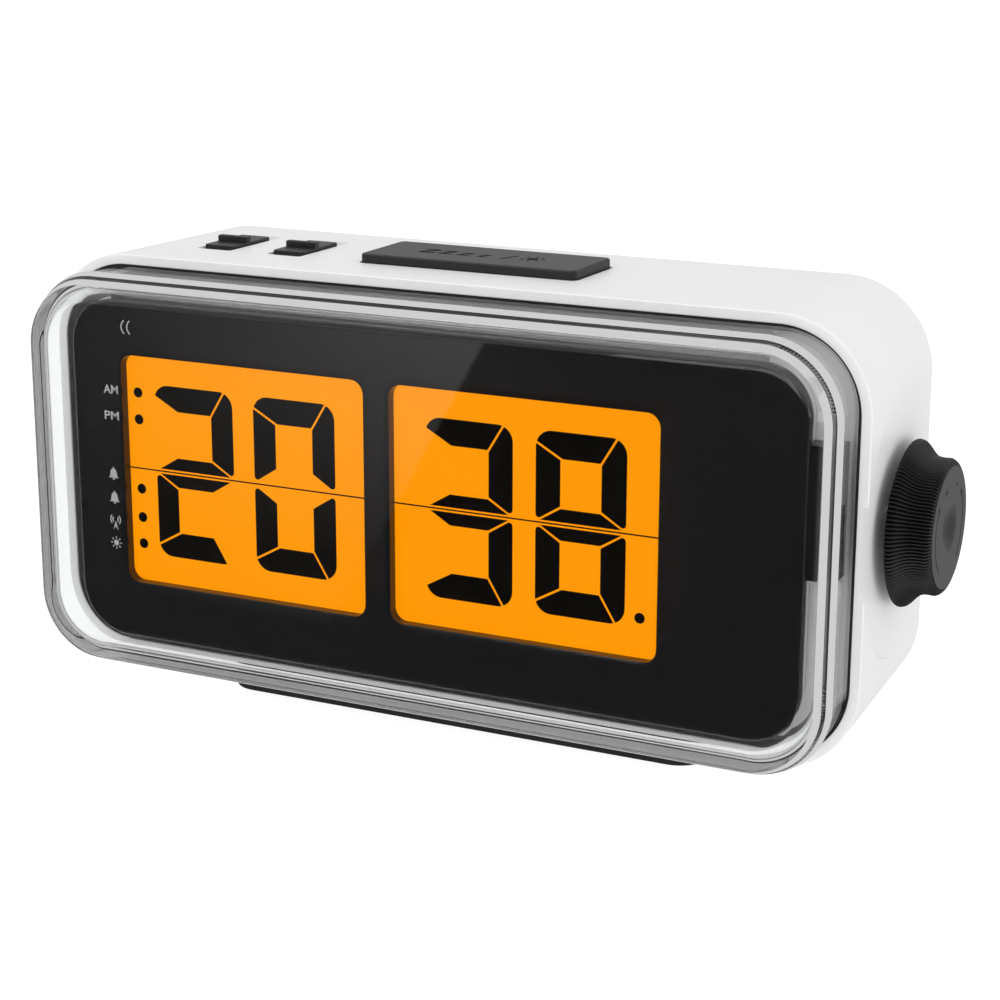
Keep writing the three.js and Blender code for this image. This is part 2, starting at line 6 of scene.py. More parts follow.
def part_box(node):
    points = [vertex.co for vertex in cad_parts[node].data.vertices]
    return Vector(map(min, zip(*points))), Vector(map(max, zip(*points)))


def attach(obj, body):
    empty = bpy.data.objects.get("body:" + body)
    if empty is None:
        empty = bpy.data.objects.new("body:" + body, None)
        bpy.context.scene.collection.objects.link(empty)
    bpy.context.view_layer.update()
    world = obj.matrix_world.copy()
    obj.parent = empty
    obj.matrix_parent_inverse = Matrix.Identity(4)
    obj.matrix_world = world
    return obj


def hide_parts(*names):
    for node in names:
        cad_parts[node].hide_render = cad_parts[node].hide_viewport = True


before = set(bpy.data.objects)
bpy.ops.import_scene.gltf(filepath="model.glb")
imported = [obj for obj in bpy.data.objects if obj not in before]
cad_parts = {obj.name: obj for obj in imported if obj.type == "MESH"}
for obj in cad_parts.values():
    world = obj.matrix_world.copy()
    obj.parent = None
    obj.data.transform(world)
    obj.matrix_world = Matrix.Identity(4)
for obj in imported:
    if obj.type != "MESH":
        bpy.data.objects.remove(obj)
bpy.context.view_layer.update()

# ---------- camera and studio ----------
# The clock stands on a pale table under a white dome, and a long lens looks at it from its right and a
# little above. Gloss sees a darker room than the eye does: a card low on the left lays one soft slanting
# sheen across the window, a soft box hangs overhead, and two fills light the front and the dial's side.
MM = 0.001
CAMERA_TURN = math.radians(26.045)
CAMERA_TILT = math.radians(15.414)
CAMERA_ROLL = math.radians(0.13)
camera_lens = bpy.data.cameras.new("camera")
camera_lens.sensor_width = 36
camera_lens.lens = 83.32
camera = bpy.data.objects.new("camera", camera_lens)
bpy.context.scene.collection.objects.link(camera)
camera.matrix_world = (
    Matrix.Translation((0.16768, -0.33615, 0.14006))
    @ Matrix.Rotation(CAMERA_TURN, 4, "Z")
    @ Matrix.Rotation(math.pi / 2 - CAMERA_TILT, 4, "X")
    @ Matrix.Rotation(CAMERA_ROLL, 4, "Z")
)
bpy.context.scene.camera = camera
bpy.context.scene.view_settings.view_transform = "Standard"


def maths(tree, operation, *values):
    """The output of a Math node; each value is a number, or another node's output."""
    node = tree.nodes.new("ShaderNodeMath")
    node.operation = operation
    for socket, value in zip(node.inputs, values):
        if isinstance(value, (int, float)):
            socket.default_value = value
        else:
            tree.links.new(value, socket)
    return node.outputs[0]


def studio_dome():
    """White for the eye and for diffuse light; for gloss, pale grey, and dark low in front."""
    world = bpy.data.worlds.new("dome")
    world.use_nodes = True
    bpy.context.scene.world = world
    tree = world.node_tree
    nodes, links = tree.nodes, tree.links
    direction = nodes.new("ShaderNodeTexCoord")
    parts = nodes.new("ShaderNodeSeparateXYZ")
    links.new(direction.outputs["Generated"], parts.inputs[0])
    bright = []
    for axis, start, end in (("Y", -0.45, -0.15), ("Z", -0.02, 0.14)):
        fade = nodes.new("ShaderNodeMapRange")
        fade.interpolation_type = "SMOOTHSTEP"
        fade.inputs["From Min"].default_value = start
        fade.inputs["From Max"].default_value = end
        links.new(parts.outputs[axis], fade.inputs["Value"])
        bright.append(fade.outputs[0])
    gloss = nodes.new("ShaderNodeMapRange")
    gloss.inputs["To Min"].default_value = 0.0
    gloss.inputs["To Max"].default_value = 0.62
    links.new(maths(tree, "MAXIMUM", *bright), gloss.inputs["Value"])
    path = nodes.new("ShaderNodeLightPath")
    choose = nodes.new("ShaderNodeMix")
    choose.data_type = "RGBA"
    choose.inputs["A"].default_value = (0.93, 0.935, 0.94, 1)
    # Light that has crossed one to three faces of the window and been mirrored twice or more stays white.
    # The 99 is past any depth of reflection, so that the subtraction then comes to nothing.
    caught = maths(tree, "COMPARE", path.outputs["Transmission Depth"], 2, 1.2)
    often = maths(tree, "GREATER_THAN", path.outputs["Glossy Depth"], 1.5)
    many = maths(tree, "MULTIPLY", maths(tree, "MULTIPLY", caught, often), 99)
    mirrored = maths(tree, "SUBTRACT", path.outputs["Glossy Depth"], many)
    mirrored.node.use_clamp = True
    links.new(mirrored, choose.inputs["Factor"])
    links.new(gloss.outputs["Result"], choose.inputs["B"])
    links.new(choose.outputs["Result"], nodes["Background"].inputs["Color"])


def soft_box(name, place, aim, width, depth, power):
    bpy.ops.object.select_all(action="DESELECT")
    bpy.ops.object.light_add(type="AREA", location=place)
    box = bpy.context.object
    box.name = name
    box.data.shape = "RECTANGLE"
    box.data.size = width
    box.data.size_y = depth
    box.data.energy = power
    box.rotation_euler = (Vector(aim) - Vector(place)).to_track_quat("-Z", "Y").to_euler()
    return box


def glowing(name, colour, strength):
    """A glowing card, brightest at its upper right corner."""
    material = bpy.data.materials.new(name)
    material.use_nodes = True
    tree = material.node_tree
    nodes, links = tree.nodes, tree.links
    nodes.clear()
    glow = nodes.new("ShaderNodeEmission")
    glow.inputs["Color"].default_value = (*colour, 1)
    place = nodes.new("ShaderNodeTexCoord")
    parts = nodes.new("ShaderNodeSeparateXYZ")
    links.new(place.outputs["Object"], parts.inputs[0])
    fades = []
    for axis, start, end, low in (("X", -0.40, -0.225, 0.12), ("Z", -0.13, -0.03, 0.1)):
        fade = nodes.new("ShaderNodeMapRange")
        for socket, value in (("From Min", start), ("From Max", end), ("To Min", low), ("To Max", 1.0)):
            fade.inputs[socket].default_value = value
        links.new(parts.outputs[axis], fade.inputs["Value"])
        fades.append(fade.outputs[0])
    power = maths(tree, "MULTIPLY", maths(tree, "MULTIPLY", *fades), strength)
    links.new(power, glow.inputs["Strength"])
    out = nodes.new("ShaderNodeOutputMaterial")
    links.new(glow.outputs[0], out.inputs["Surface"])
    return material


studio_dome()
soft_box("box_overhead", (-0.15, -0.35, 0.9), (0, 0, 0.04), 0.9, 0.35, 2.0)
front_fill = soft_box("fill_front", (-0.1, -1.3, 0.35), (0, 0, 0.04), 0.8, 0.5, 2.4)
front_fill.visible_glossy = False
side_fill = soft_box("fill_side", (1.1, -0.25, 0.06), (0.07, 0, 0.02), 0.7, 0.2, 1.5)
side_fill.visible_glossy = False


def let_through(material, rays):
    """Lets that kind of ray pass the material as if it were not there."""
    nodes, links = material.node_tree.nodes, material.node_tree.links
    path = nodes.new("ShaderNodeLightPath")
    through = nodes.new("ShaderNodeBsdfTransparent")
    mix = nodes.new("ShaderNodeMixShader")
    links.new(path.outputs[rays], mix.inputs["Fac"])
    links.new(nodes["Principled BSDF"].outputs[0], mix.inputs[1])
    links.new(through.outputs[0], mix.inputs[2])
    links.new(mix.outputs[0], nodes["Material Output"].inputs["Surface"])


def light_table(name):
    """Opal white, lit from below, so that shadows stay pale. Mirrored light passes it by."""
    material = bpy.data.materials.new(name)
    material.use_nodes = True
    shader = material.node_tree.nodes["Principled BSDF"]
    shader.inputs["Base Color"].default_value = (0.3, 0.3, 0.3, 1)
    shader.inputs["Roughness"].default_value = 0.9
    shader.inputs["Specular IOR Level"].default_value = 0
    shader.inputs["Emission Color"].default_value = (1, 1, 1, 1)
    shader.inputs["Emission Strength"].default_value = 0.86
    let_through(material, "Glossy Depth")
    return material


bpy.ops.mesh.primitive_plane_add(size=20, location=(0, 0, 0))
floor = bpy.context.object
floor.name = "table"
floor.data.materials.append(light_table("table_white"))

# The card's right edge is the slanting edge of the sheen.
CARD_Y = -0.5
bpy.ops.mesh.primitive_circle_add(vertices=4, radius=1, fill_type="NGON")
card = bpy.context.object
card.name = "sheen_card"
card_corners = ((-0.2105, -0.022), (-0.2882, -0.16), (-0.62, -0.16), (-0.62, -0.022))
for vertex, (x, z) in zip(card.data.vertices, card_corners):
    vertex.co = (x, CARD_Y, z)
card.data.materials.append(glowing("card_glow", (1, 1, 1), 0.5))
card.visible_camera = False
card.visible_diffuse = False
card.visible_shadow = False

# ---------- housing ----------
# One deep sleeve of white ABS, open at both ends, whose outside draws in towards the back so that it
# leaves the mould. The rim takes the window, the rear pocket the back cover, and the top and side
# are pierced for the buttons and the dial. Its skin is satin with a very fine spark grain.
HALF_WIDTH = 72.6
HALF_HEIGHT = 35.6
MID_HEIGHT = 41
RIM_Y = -18.4
BACK_Y = 19.6
BACK_SHRINK = (70.8 / 72.6, 35.4 / 35.6)
CORNER = 14.8
RIM_WIDTH = 1.7
LENS_POCKET = 6.0
LEDGE = 2.4
COVER_POCKET = 2.4
COVER_RIM = 1.3
DIAL_Y = 1.8
DIAL_Z = 41.4
TURN_TO_AXIS = {"X": (0, math.pi / 2, 0), "Y": (-math.pi / 2, 0, 0), "Z": (0, 0, 0)}
AXIS_NUMBER = {"X": 0, "Y": 1, "Z": 2}


def srgb(red, green, blue):
    """A colour from its 0 to 255 screen values."""
    linear = []
    for part in (red, green, blue):
        part /= 255
        linear.append(part / 12.92 if part <= 0.04045 else ((part + 0.055) / 1.055) ** 2.4)
    return (*linear, 1)


def corners(node):
    """The lowest and highest corners of a frame node, in millimetres."""
    low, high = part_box(node)
    return [v / MM for v in low], [v / MM for v in high]


def block(name, low, high):
    """A plain block between two corners, in millimetres."""
    bpy.ops.object.select_all(action="DESELECT")
    middle = [(a + b) / 2 * MM for a, b in zip(low, high)]
    bpy.ops.mesh.primitive_cube_add(size=MM, location=middle)
    piece = bpy.context.object
    piece.name = name
    piece.scale = [b - a for a, b in zip(low, high)]
    bpy.ops.object.transform_apply()
    return piece


def pick_edges(piece, wanted):
    """Edit mode, with only the edges that wanted(a, b) says, a and b being their ends in millimetres."""
    bpy.ops.object.select_all(action="DESELECT")
    bpy.context.view_layer.objects.active = piece
    piece.select_set(True)
    bpy.ops.object.mode_set(mode="EDIT")
    bpy.ops.mesh.select_mode(type="EDGE")
    bpy.ops.mesh.select_all(action="DESELECT")
    bpy.ops.object.mode_set(mode="OBJECT")
    spots = [vertex.co / MM for vertex in piece.data.vertices]
    for edge in piece.data.edges:
        edge.select = wanted(spots[edge.vertices[0]], spots[edge.vertices[1]])
    bpy.ops.object.mode_set(mode="EDIT")


def pick_faces(piece, wanted):
    """Edit mode, with only the faces that wanted(centre, normal) says."""
    bpy.ops.object.select_all(action="DESELECT")
    bpy.context.view_layer.objects.active = piece
    piece.select_set(True)
    bpy.ops.object.mode_set(mode="EDIT")
    bpy.ops.mesh.select_mode(type="FACE")
    bpy.ops.mesh.select_all(action="DESELECT")
    bpy.ops.object.mode_set(mode="OBJECT")
    for face in piece.data.polygons:
        face.select = wanted(face.center / MM, face.normal)
    bpy.ops.object.mode_set(mode="EDIT")


def leave_edit():
    bpy.ops.object.mode_set(mode="OBJECT")


def round_edges(piece, wanted, radius, segments):
    pick_edges(piece, wanted)
    bpy.ops.mesh.bevel(offset=radius * MM, segments=segments, affect="EDGES")
    leave_edit()


def near(value, target, slack=0.02):
    return abs(value - target) < slack


def slab(name, low, high, axis, corner, arc=10):
    """A block whose four edges along axis are rounded to corner."""
    piece = block(name, low, high)
    across = [n for n in range(3) if n != AXIS_NUMBER[axis]]
    round_edges(piece, lambda a, b: all(near(a[n], b[n]) for n in across), corner, arc)
    return piece


def round_loop(piece, axis, level, radius, segments, inside=lambda p: True):
    """Rounds every edge that lies at one level of an axis."""
    n = AXIS_NUMBER[axis]
    round_edges(
        piece,
        lambda a, b: near(a[n], level) and near(b[n], level) and inside(a) and inside(b),
        radius, segments,
    )


def turned(name, axis, profile, centre, sides):
    """A turned solid: profile holds (place along the axis, radius), centre the axis's other two places."""
    n = AXIS_NUMBER[axis]
    across = [m for m in range(3) if m != n]

    def on_axis(along):
        spot = [0, 0, 0]
        spot[n] = along * MM
        spot[across[0]], spot[across[1]] = centre[0] * MM, centre[1] * MM
        return spot

    along, radius = profile[0]
    bpy.ops.object.select_all(action="DESELECT")
    bpy.ops.mesh.primitive_circle_add(vertices=sides, radius=radius * MM, fill_type="NGON",
                                      location=on_axis(along), rotation=TURN_TO_AXIS[axis])
    piece = bpy.context.object
    piece.name = name
    bpy.ops.object.transform_apply()
    bpy.ops.object.mode_set(mode="EDIT")
    bpy.ops.mesh.select_all(action="SELECT")
    for next_along, next_radius in profile[1:]:
        step = [0, 0, 0]
        step[n] = (next_along - along) * MM
        bpy.ops.mesh.extrude_region_move(TRANSFORM_OT_translate={"value": step})
        grow = [next_radius / radius] * 3
        grow[n] = 1
        bpy.ops.transform.resize(value=grow, center_override=on_axis(next_along))
        along, radius = next_along, next_radius
    bpy.ops.mesh.select_all(action="SELECT")
    bpy.ops.mesh.remove_doubles(threshold=0.001 * MM)
    bpy.ops.mesh.normals_make_consistent(inside=False)
    leave_edit()
    return piece


def combine(piece, operation, *tools):
    """Cuts the tools out of a piece, or welds them on; the tools are used up."""
    for tool in tools:
        step = piece.modifiers.new("step", "BOOLEAN")
        step.operation = operation
        step.solver = "EXACT"
        step.object = tool
        bpy.context.view_layer.objects.active = piece
        bpy.ops.object.modifier_apply(modifier=step.name)
        bpy.data.objects.remove(tool)
    return piece


def smooth(piece, angle=32):
    """Rounded edges shade round and flat faces stay flat."""
    bpy.ops.object.select_all(action="DESELECT")
    bpy.context.view_layer.objects.active = piece
    piece.select_set(True)
    bpy.ops.object.shade_smooth_by_angle(angle=math.radians(angle))
    weigh = piece.modifiers.new("weigh", "WEIGHTED_NORMAL")
    weigh.keep_sharp = True
    bpy.ops.object.modifier_apply(modifier=weigh.name)


def moulded(name, light, dark, roughness=0.4, swing=0.06, mottle=14.0, grain=0.35, depth=0.004, metal=0.0):
    """A material on Object coordinates: two close shades, uneven gloss, and a fine grain (sizes in mm)."""
    material = bpy.data.materials.new(name)
    material.use_nodes = True
    nodes, links = material.node_tree.nodes, material.node_tree.links
    shader = nodes["Principled BSDF"]
    shader.inputs["Metallic"].default_value = metal
    place = nodes.new("ShaderNodeTexCoord")
    cloud = nodes.new("ShaderNodeTexNoise")
    cloud.inputs["Scale"].default_value = 1 / (mottle * MM)
    cloud.inputs["Detail"].default_value = 4
    links.new(place.outputs["Object"], cloud.inputs["Vector"])
    shade = nodes.new("ShaderNodeMix")
    shade.data_type = "RGBA"
    shade.inputs["A"].default_value = dark
    shade.inputs["B"].default_value = light
    links.new(cloud.outputs["Fac"], shade.inputs["Factor"])
    links.new(shade.outputs["Result"], shader.inputs["Base Color"])
    gloss = nodes.new("ShaderNodeMapRange")
    gloss.inputs["To Min"].default_value = roughness - swing
    gloss.inputs["To Max"].default_value = roughness + swing
    fine = nodes.new("ShaderNodeTexNoise")
    fine.inputs["Scale"].default_value = 1 / (grain * MM)
    fine.inputs["Detail"].default_value = 2
    links.new(place.outputs["Object"], fine.inputs["Vector"])
    links.new(fine.outputs["Fac"], gloss.inputs["Value"])
    links.new(gloss.outputs[0], shader.inputs["Roughness"])
    bump = nodes.new("ShaderNodeBump")
    bump.inputs["Distance"].default_value = depth * MM
    links.new(fine.outputs["Fac"], bump.inputs["Height"])
    links.new(bump.outputs["Normal"], shader.inputs["Normal"])
    return material


def finish(piece, material, body, replaces=()):
    """Gives a piece its material, and says what it rides on and stands for."""
    piece.data.materials.clear()
    piece.data.materials.append(material)
    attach(piece, body)
    if replaces:
        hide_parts(*replaces)
    return piece


white_abs = moulded("white_abs", srgb(232, 232, 231), srgb(227, 227, 226), roughness=0.34)
white_abs.node_tree.nodes["Principled BSDF"].inputs["Specular IOR Level"].default_value = 0.45

housing_top = MID_HEIGHT + HALF_HEIGHT
sleeve = block("housing_shell", (-HALF_WIDTH, RIM_Y, MID_HEIGHT - HALF_HEIGHT),
               (HALF_WIDTH, BACK_Y, housing_top))
pick_faces(sleeve, lambda centre, normal: normal.y > 0.9)
bpy.ops.transform.resize(value=(BACK_SHRINK[0], 1, BACK_SHRINK[1]),
                         center_override=(0, BACK_Y * MM, MID_HEIGHT * MM))
leave_edit()
round_edges(sleeve, lambda a, b: abs(a.y - b.y) > 30, CORNER, 24)

# The front pocket and the bore, pushed in from the rim.
pick_faces(sleeve, lambda centre, normal: normal.y < -0.9)
bpy.ops.mesh.inset(thickness=RIM_WIDTH * MM)
bpy.ops.mesh.extrude_region_move(TRANSFORM_OT_translate={"value": (0, LENS_POCKET * MM, 0)})
bpy.ops.mesh.inset(thickness=LEDGE * MM)
cover_ledge_y = BACK_Y - COVER_POCKET
bore = cover_ledge_y - RIM_Y - LENS_POCKET
bpy.ops.mesh.extrude_region_move(TRANSFORM_OT_translate={"value": (0, bore * MM, 0)})
bpy.ops.mesh.delete(type="ONLY_FACE")
leave_edit()
# The rear pocket, bridged to the bore.
pick_faces(sleeve, lambda centre, normal: normal.y > 0.9 and near(centre.y, BACK_Y))
bpy.ops.mesh.inset(thickness=COVER_RIM * MM)
bpy.ops.mesh.extrude_region_move(TRANSFORM_OT_translate={"value": (0, -COVER_POCKET * MM, 0)})
bpy.ops.mesh.delete(type="ONLY_FACE")
leave_edit()
pick_edges(sleeve, lambda a, b: near(a.y, cover_ledge_y) and near(b.y, cover_ledge_y))
bpy.ops.mesh.bridge_edge_loops()
bpy.ops.mesh.select_all(action="SELECT")
bpy.ops.mesh.normals_make_consistent(inside=False)
leave_edit()
round_loop(sleeve, "Y", RIM_Y, 0.2, 3)
round_loop(sleeve, "Y", BACK_Y, 0.5, 3)

# Screw bosses for the back cover, the openings in the top, the dial's dish and its hole.
COVER_SCREW_X = 63.2
COVER_SCREW_Z = 27.8
BOSS_RADIUS = 3.4
BOSS_START_Y = 2
PILOT_RADIUS = 1.4
boss_profile = [(BOSS_START_Y, BOSS_RADIUS - 0.2), (BOSS_START_Y + 0.6, BOSS_RADIUS),
                (cover_ledge_y - 0.01, BOSS_RADIUS)]
for side in (-1, 1):
    for up in (-1, 1):
        spot = (side * COVER_SCREW_X, MID_HEIGHT + up * COVER_SCREW_Z)
        combine(sleeve, "UNION", turned("boss", "Y", boss_profile, spot, 32))
        combine(sleeve, "DIFFERENCE", turned("pilot", "Y", [(8, PILOT_RADIUS), (18, PILOT_RADIUS)], spot, 20))
SNOOZE_LOW, SNOOZE_HIGH = (-18.8, -7.4), (20.0, 7.4)
SNOOZE_GAP = 0.35
UNDER_SKIN = 66
ABOVE_ALL = 90
combine(sleeve, "DIFFERENCE", slab(
    "snooze_hole", (SNOOZE_LOW[0] - SNOOZE_GAP, SNOOZE_LOW[1] - SNOOZE_GAP, UNDER_SKIN),
    (SNOOZE_HIGH[0] + SNOOZE_GAP, SNOOZE_HIGH[1] + SNOOZE_GAP, ABOVE_ALL), "Z", 1.4))
SLIDER_X = {"alarm_1": -47.4, "alarm_2": -33.8}
POCKET_HALF = 3.35
POCKET_Y = (-7.1, 9.9)
POCKET_DEPTH = 0.8
STEM_SLOT_HALF = 1.85
STEM_SLOT_Y = (-3.4, 4.4)
for x in SLIDER_X.values():
    scoop = slab("pocket", (x - POCKET_HALF, POCKET_Y[0], housing_top - POCKET_DEPTH),
                 (x + POCKET_HALF, POCKET_Y[1], ABOVE_ALL), "Z", 0.6, 5)
    stem_slot = block("stem_slot", (x - STEM_SLOT_HALF, STEM_SLOT_Y[0], UNDER_SKIN),
                      (x + STEM_SLOT_HALF, STEM_SLOT_Y[1], ABOVE_ALL))
    combine(sleeve, "DIFFERENCE", scoop, stem_slot)
DISH_RADIUS = 19.5
DISH_DEPTH = 0.7
DISH_TOOL_RADIUS = 21.5
SIDE_X = 71.65
DIAL_HOLE_RADIUS = 4.8
ball = (DISH_RADIUS**2 + DISH_DEPTH**2) / (2 * DISH_DEPTH)
dish_profile = [(90, DISH_TOOL_RADIUS)]
for step in range(10, 0, -1):
    lean = math.asin(DISH_TOOL_RADIUS / ball) * step / 10
    dish_profile.append((SIDE_X - DISH_DEPTH + ball * (1 - math.cos(lean)), ball * math.sin(lean)))
combine(sleeve, "DIFFERENCE", turned("dish", "X", dish_profile, (DIAL_Y, DIAL_Z), 96),
        turned("dial_hole", "X", [(60, DIAL_HOLE_RADIUS), (90, DIAL_HOLE_RADIUS)], (DIAL_Y, DIAL_Z), 48))
smooth(sleeve)
finish(sleeve, white_abs, "clock_body", ["housing"])

# ---------- window ----------
# A clear acrylic tray, 2.4 mm thick with rounded edges, pushed into the rim over the face panel. It is
# injection moulded and polished, so only a breath of unevenness shows in its gloss.
LENS_HALF_WIDTH = 70.4
LENS_HALF_HEIGHT = 33.4
LENS_CORNER = 12.1
LENS_FRONT_Y = -30.45
LENS_BACK_Y = -15
LENS_WALL = 2.4
LENS_EDGE = 3.9
LENS_INNER_EDGE = 2.2
lens = slab("window_tray", (-LENS_HALF_WIDTH, LENS_FRONT_Y, MID_HEIGHT - LENS_HALF_HEIGHT),
            (LENS_HALF_WIDTH, LENS_BACK_Y, MID_HEIGHT + LENS_HALF_HEIGHT), "Y", LENS_CORNER, 24)
pick_faces(lens, lambda centre, normal: normal.y > 0.9)
bpy.ops.mesh.inset(thickness=LENS_WALL * MM)
lens_depth = LENS_BACK_Y - LENS_FRONT_Y - LENS_WALL
bpy.ops.mesh.extrude_region_move(TRANSFORM_OT_translate={"value": (0, -lens_depth * MM, 0)})
leave_edit()
round_loop(lens, "Y", LENS_FRONT_Y, LENS_EDGE, 12)
round_loop(lens, "Y", LENS_FRONT_Y + LENS_WALL, LENS_INNER_EDGE, 8)
round_loop(lens, "Y", LENS_BACK_Y, 0.3, 2)
smooth(lens)


def clear_plastic(name, colour, ior):
    """Clear, and lets lamps through: a lamp's light passes straight, and the eye sees it refract."""
    material = moulded(name, colour, colour, roughness=0.01, swing=0.005, grain=3.0, depth=0.0)
    shader = material.node_tree.nodes["Principled BSDF"]
    shader.inputs["Transmission Weight"].default_value = 1
    shader.inputs["IOR"].default_value = ior
    let_through(material, "Is Shadow Ray")
    return material


clear_acrylic = clear_plastic("clear_acrylic", srgb(252, 253, 253), 1.49)
finish(lens, clear_acrylic, "clock_body", ["lens_cover"])

# ---------- window gap shade -----
# A thin black strip pressed into the gap between the window and the housing's rim: painted shade, a dark
# thing standing for the deep shadow in that gap, so that it shows as a dark line all round the window.
GAP_SHADE_OUT = 0.44
GAP_SHADE_IN = 0.06
gap_shade_outer = (LENS_HALF_WIDTH + GAP_SHADE_OUT, LENS_HALF_HEIGHT + GAP_SHADE_OUT)
gap_shade_inner = (LENS_HALF_WIDTH + GAP_SHADE_IN, LENS_HALF_HEIGHT + GAP_SHADE_IN)
GAP_SHADE_Y = (RIM_Y + 0.25, RIM_Y + LENS_POCKET - 0.3)
gap_shade_strip = slab("window_gap_shade", (-gap_shade_outer[0], GAP_SHADE_Y[0], MID_HEIGHT - gap_shade_outer[1]),
            (gap_shade_outer[0], GAP_SHADE_Y[1], MID_HEIGHT + gap_shade_outer[1]), "Y", LENS_CORNER + GAP_SHADE_OUT, 24)
core = slab("core", (-gap_shade_inner[0], -40, MID_HEIGHT - gap_shade_inner[1]),
            (gap_shade_inner[0], 0, MID_HEIGHT + gap_shade_inner[1]), "Y", LENS_CORNER + GAP_SHADE_IN, 24)
combine(gap_shade_strip, "DIFFERENCE", core)
smooth(gap_shade_strip)
# Matt near-black: the gap's shadow, painted on the strip.
gap_shade_black = moulded("gap_shade_black", srgb(26, 26, 26), srgb(20, 20, 20), roughness=0.7, grain=0.4,
                      depth=0.006)
finish(gap_shade_strip, gap_shade_black, "clock_body")

# ---------- face panel ----------
# A glossy black plate behind the window with two openings, each in a shallow sloping lip, and the small
# fold and tab that locate it on the display frame. Moulded in black ABS, its outer edge softly rounded.
PANEL_HALF_WIDTH = 65.3
PANEL_HALF_HEIGHT = 29.8
PANEL_Y = -23.1
PANEL_BACK_Y = -21.1
WINDOW_HALF_WIDTH = 23.15
WINDOW_HALF_HEIGHT = 19.75
WINDOW_X = {"hours": -32.45, "minutes": 18.5}
panel = slab("face_plate", (-PANEL_HALF_WIDTH, PANEL_Y, MID_HEIGHT - PANEL_HALF_HEIGHT),
             (PANEL_HALF_WIDTH, PANEL_BACK_Y, MID_HEIGHT + PANEL_HALF_HEIGHT), "Y", 9, 14)
LIP_WIDTH = 1.15
LIP_DEPTH = 0.35
LIP_CLEAR = 0.05
for x in WINDOW_X.values():
    # The sloping lip is cut first, a little too deep, and then the opening through its middle.
    reach = LIP_WIDTH * (1 + LIP_CLEAR / LIP_DEPTH)
    wide, high = WINDOW_HALF_WIDTH + reach, WINDOW_HALF_HEIGHT + reach
    lip = slab("lip", (x - wide, PANEL_Y - LIP_CLEAR, MID_HEIGHT - high),
               (x + wide, PANEL_Y + LIP_DEPTH, MID_HEIGHT + high), "Y", 3.2, 8)
    pick_faces(lip, lambda centre, normal: normal.y > 0.9)
    narrow = ((WINDOW_HALF_WIDTH - 0.1) / wide, 1, (WINDOW_HALF_HEIGHT - 0.1) / high)
    bpy.ops.transform.resize(value=narrow,
                             center_override=(x * MM, (PANEL_Y + LIP_DEPTH) * MM, MID_HEIGHT * MM))
    leave_edit()
    combine(panel, "DIFFERENCE", lip, slab(
        "opening", (x - WINDOW_HALF_WIDTH, -30, MID_HEIGHT - WINDOW_HALF_HEIGHT),
        (x + WINDOW_HALF_WIDTH, -15, MID_HEIGHT + WINDOW_HALF_HEIGHT), "Y", 2.2, 8))
round_loop(panel, "Y", PANEL_Y, 0.9, 5, lambda p: abs(p.x) > 60 or abs(p.z - MID_HEIGHT) > 25)
tab_front = PANEL_Y + 0.6
combine(panel, "UNION",
        block("top_fold", (-57, tab_front, MID_HEIGHT + 29.5), (57, -18.3, MID_HEIGHT + 30.7)),
        block("side_tab", (65, tab_front, MID_HEIGHT - 3), (67.6, -18.6, MID_HEIGHT + 17.5)))
smooth(panel)
panel_black = moulded("panel_black", srgb(22, 22, 23), srgb(18, 18, 19), roughness=0.2, depth=0.001)
finish(panel, panel_black, "clock_body", ["face_panel"])

# ---------- displays ----------
# Two lit glass displays behind the openings: amber film over the light guide, black segments on the
# glass. The figures are drawn as split flaps, with a hairline across the middle of each display.
LCD_Y = -20.8
INK_Y = LCD_Y - 0.03
INK_THICK = 0.02
FIGURE_MID = 40.85
FIGURE_HALF_WIDTH = 7.675
FIGURE_HALF_HEIGHT = 14.85
STROKE = 4.2
BAR = 4.3
FIGURE_CORNER = 2.7
MITRE = 0.2
FLAP_HALF = 2.55
FLAP_EDGE = 0.42
SEGMENTS = {"0": "abcdef", "2": "abged", "3": "abgcd", "8": "abcdefg"}


def arc(centre, radius, start, end, steps=8):
    """Points along an arc, in degrees, anticlockwise from the right."""
    angles = [math.radians(start + (end - start) * n / steps) for n in range(steps + 1)]
    return [(centre[0] + radius * math.cos(a), centre[1] + radius * math.sin(a)) for a in angles]


def spot_on(plane, u, v, level):
    """A point of a flat drawing: on the front (x, z), the top (x, y) or the right side (y, z)."""
    places = {"front": (u, level, v), "top": (u, v, level), "side": (level, u, v)}
    return [part * MM for part in places[plane]]


def outline(name, points, plane, level, thickness):
    """A flat plate with that outline, from level to level + thickness."""
    bpy.ops.object.select_all(action="DESELECT")
    bpy.ops.mesh.primitive_circle_add(vertices=len(points), radius=MM, fill_type="NGON", location=(0, 0, 0))
    plate = bpy.context.object
    plate.name = name
    for vertex, (u, v) in zip(plate.data.vertices, points):
        vertex.co = spot_on(plane, u, v, level)
    bpy.ops.object.mode_set(mode="EDIT")
    bpy.ops.mesh.select_all(action="SELECT")
    bpy.ops.mesh.extrude_region_move(
        TRANSFORM_OT_translate={"value": spot_on(plane, 0, 0, thickness)})
    bpy.ops.mesh.select_all(action="SELECT")
    bpy.ops.mesh.normals_make_consistent(inside=False)
    leave_edit()
    return plate


def join(name, pieces):
    bpy.ops.object.select_all(action="DESELECT")
    for piece in pieces:
        piece.select_set(True)
    bpy.context.view_layer.objects.active = pieces[0]
    bpy.ops.object.join()
    pieces[0].name = name
    return pieces[0]


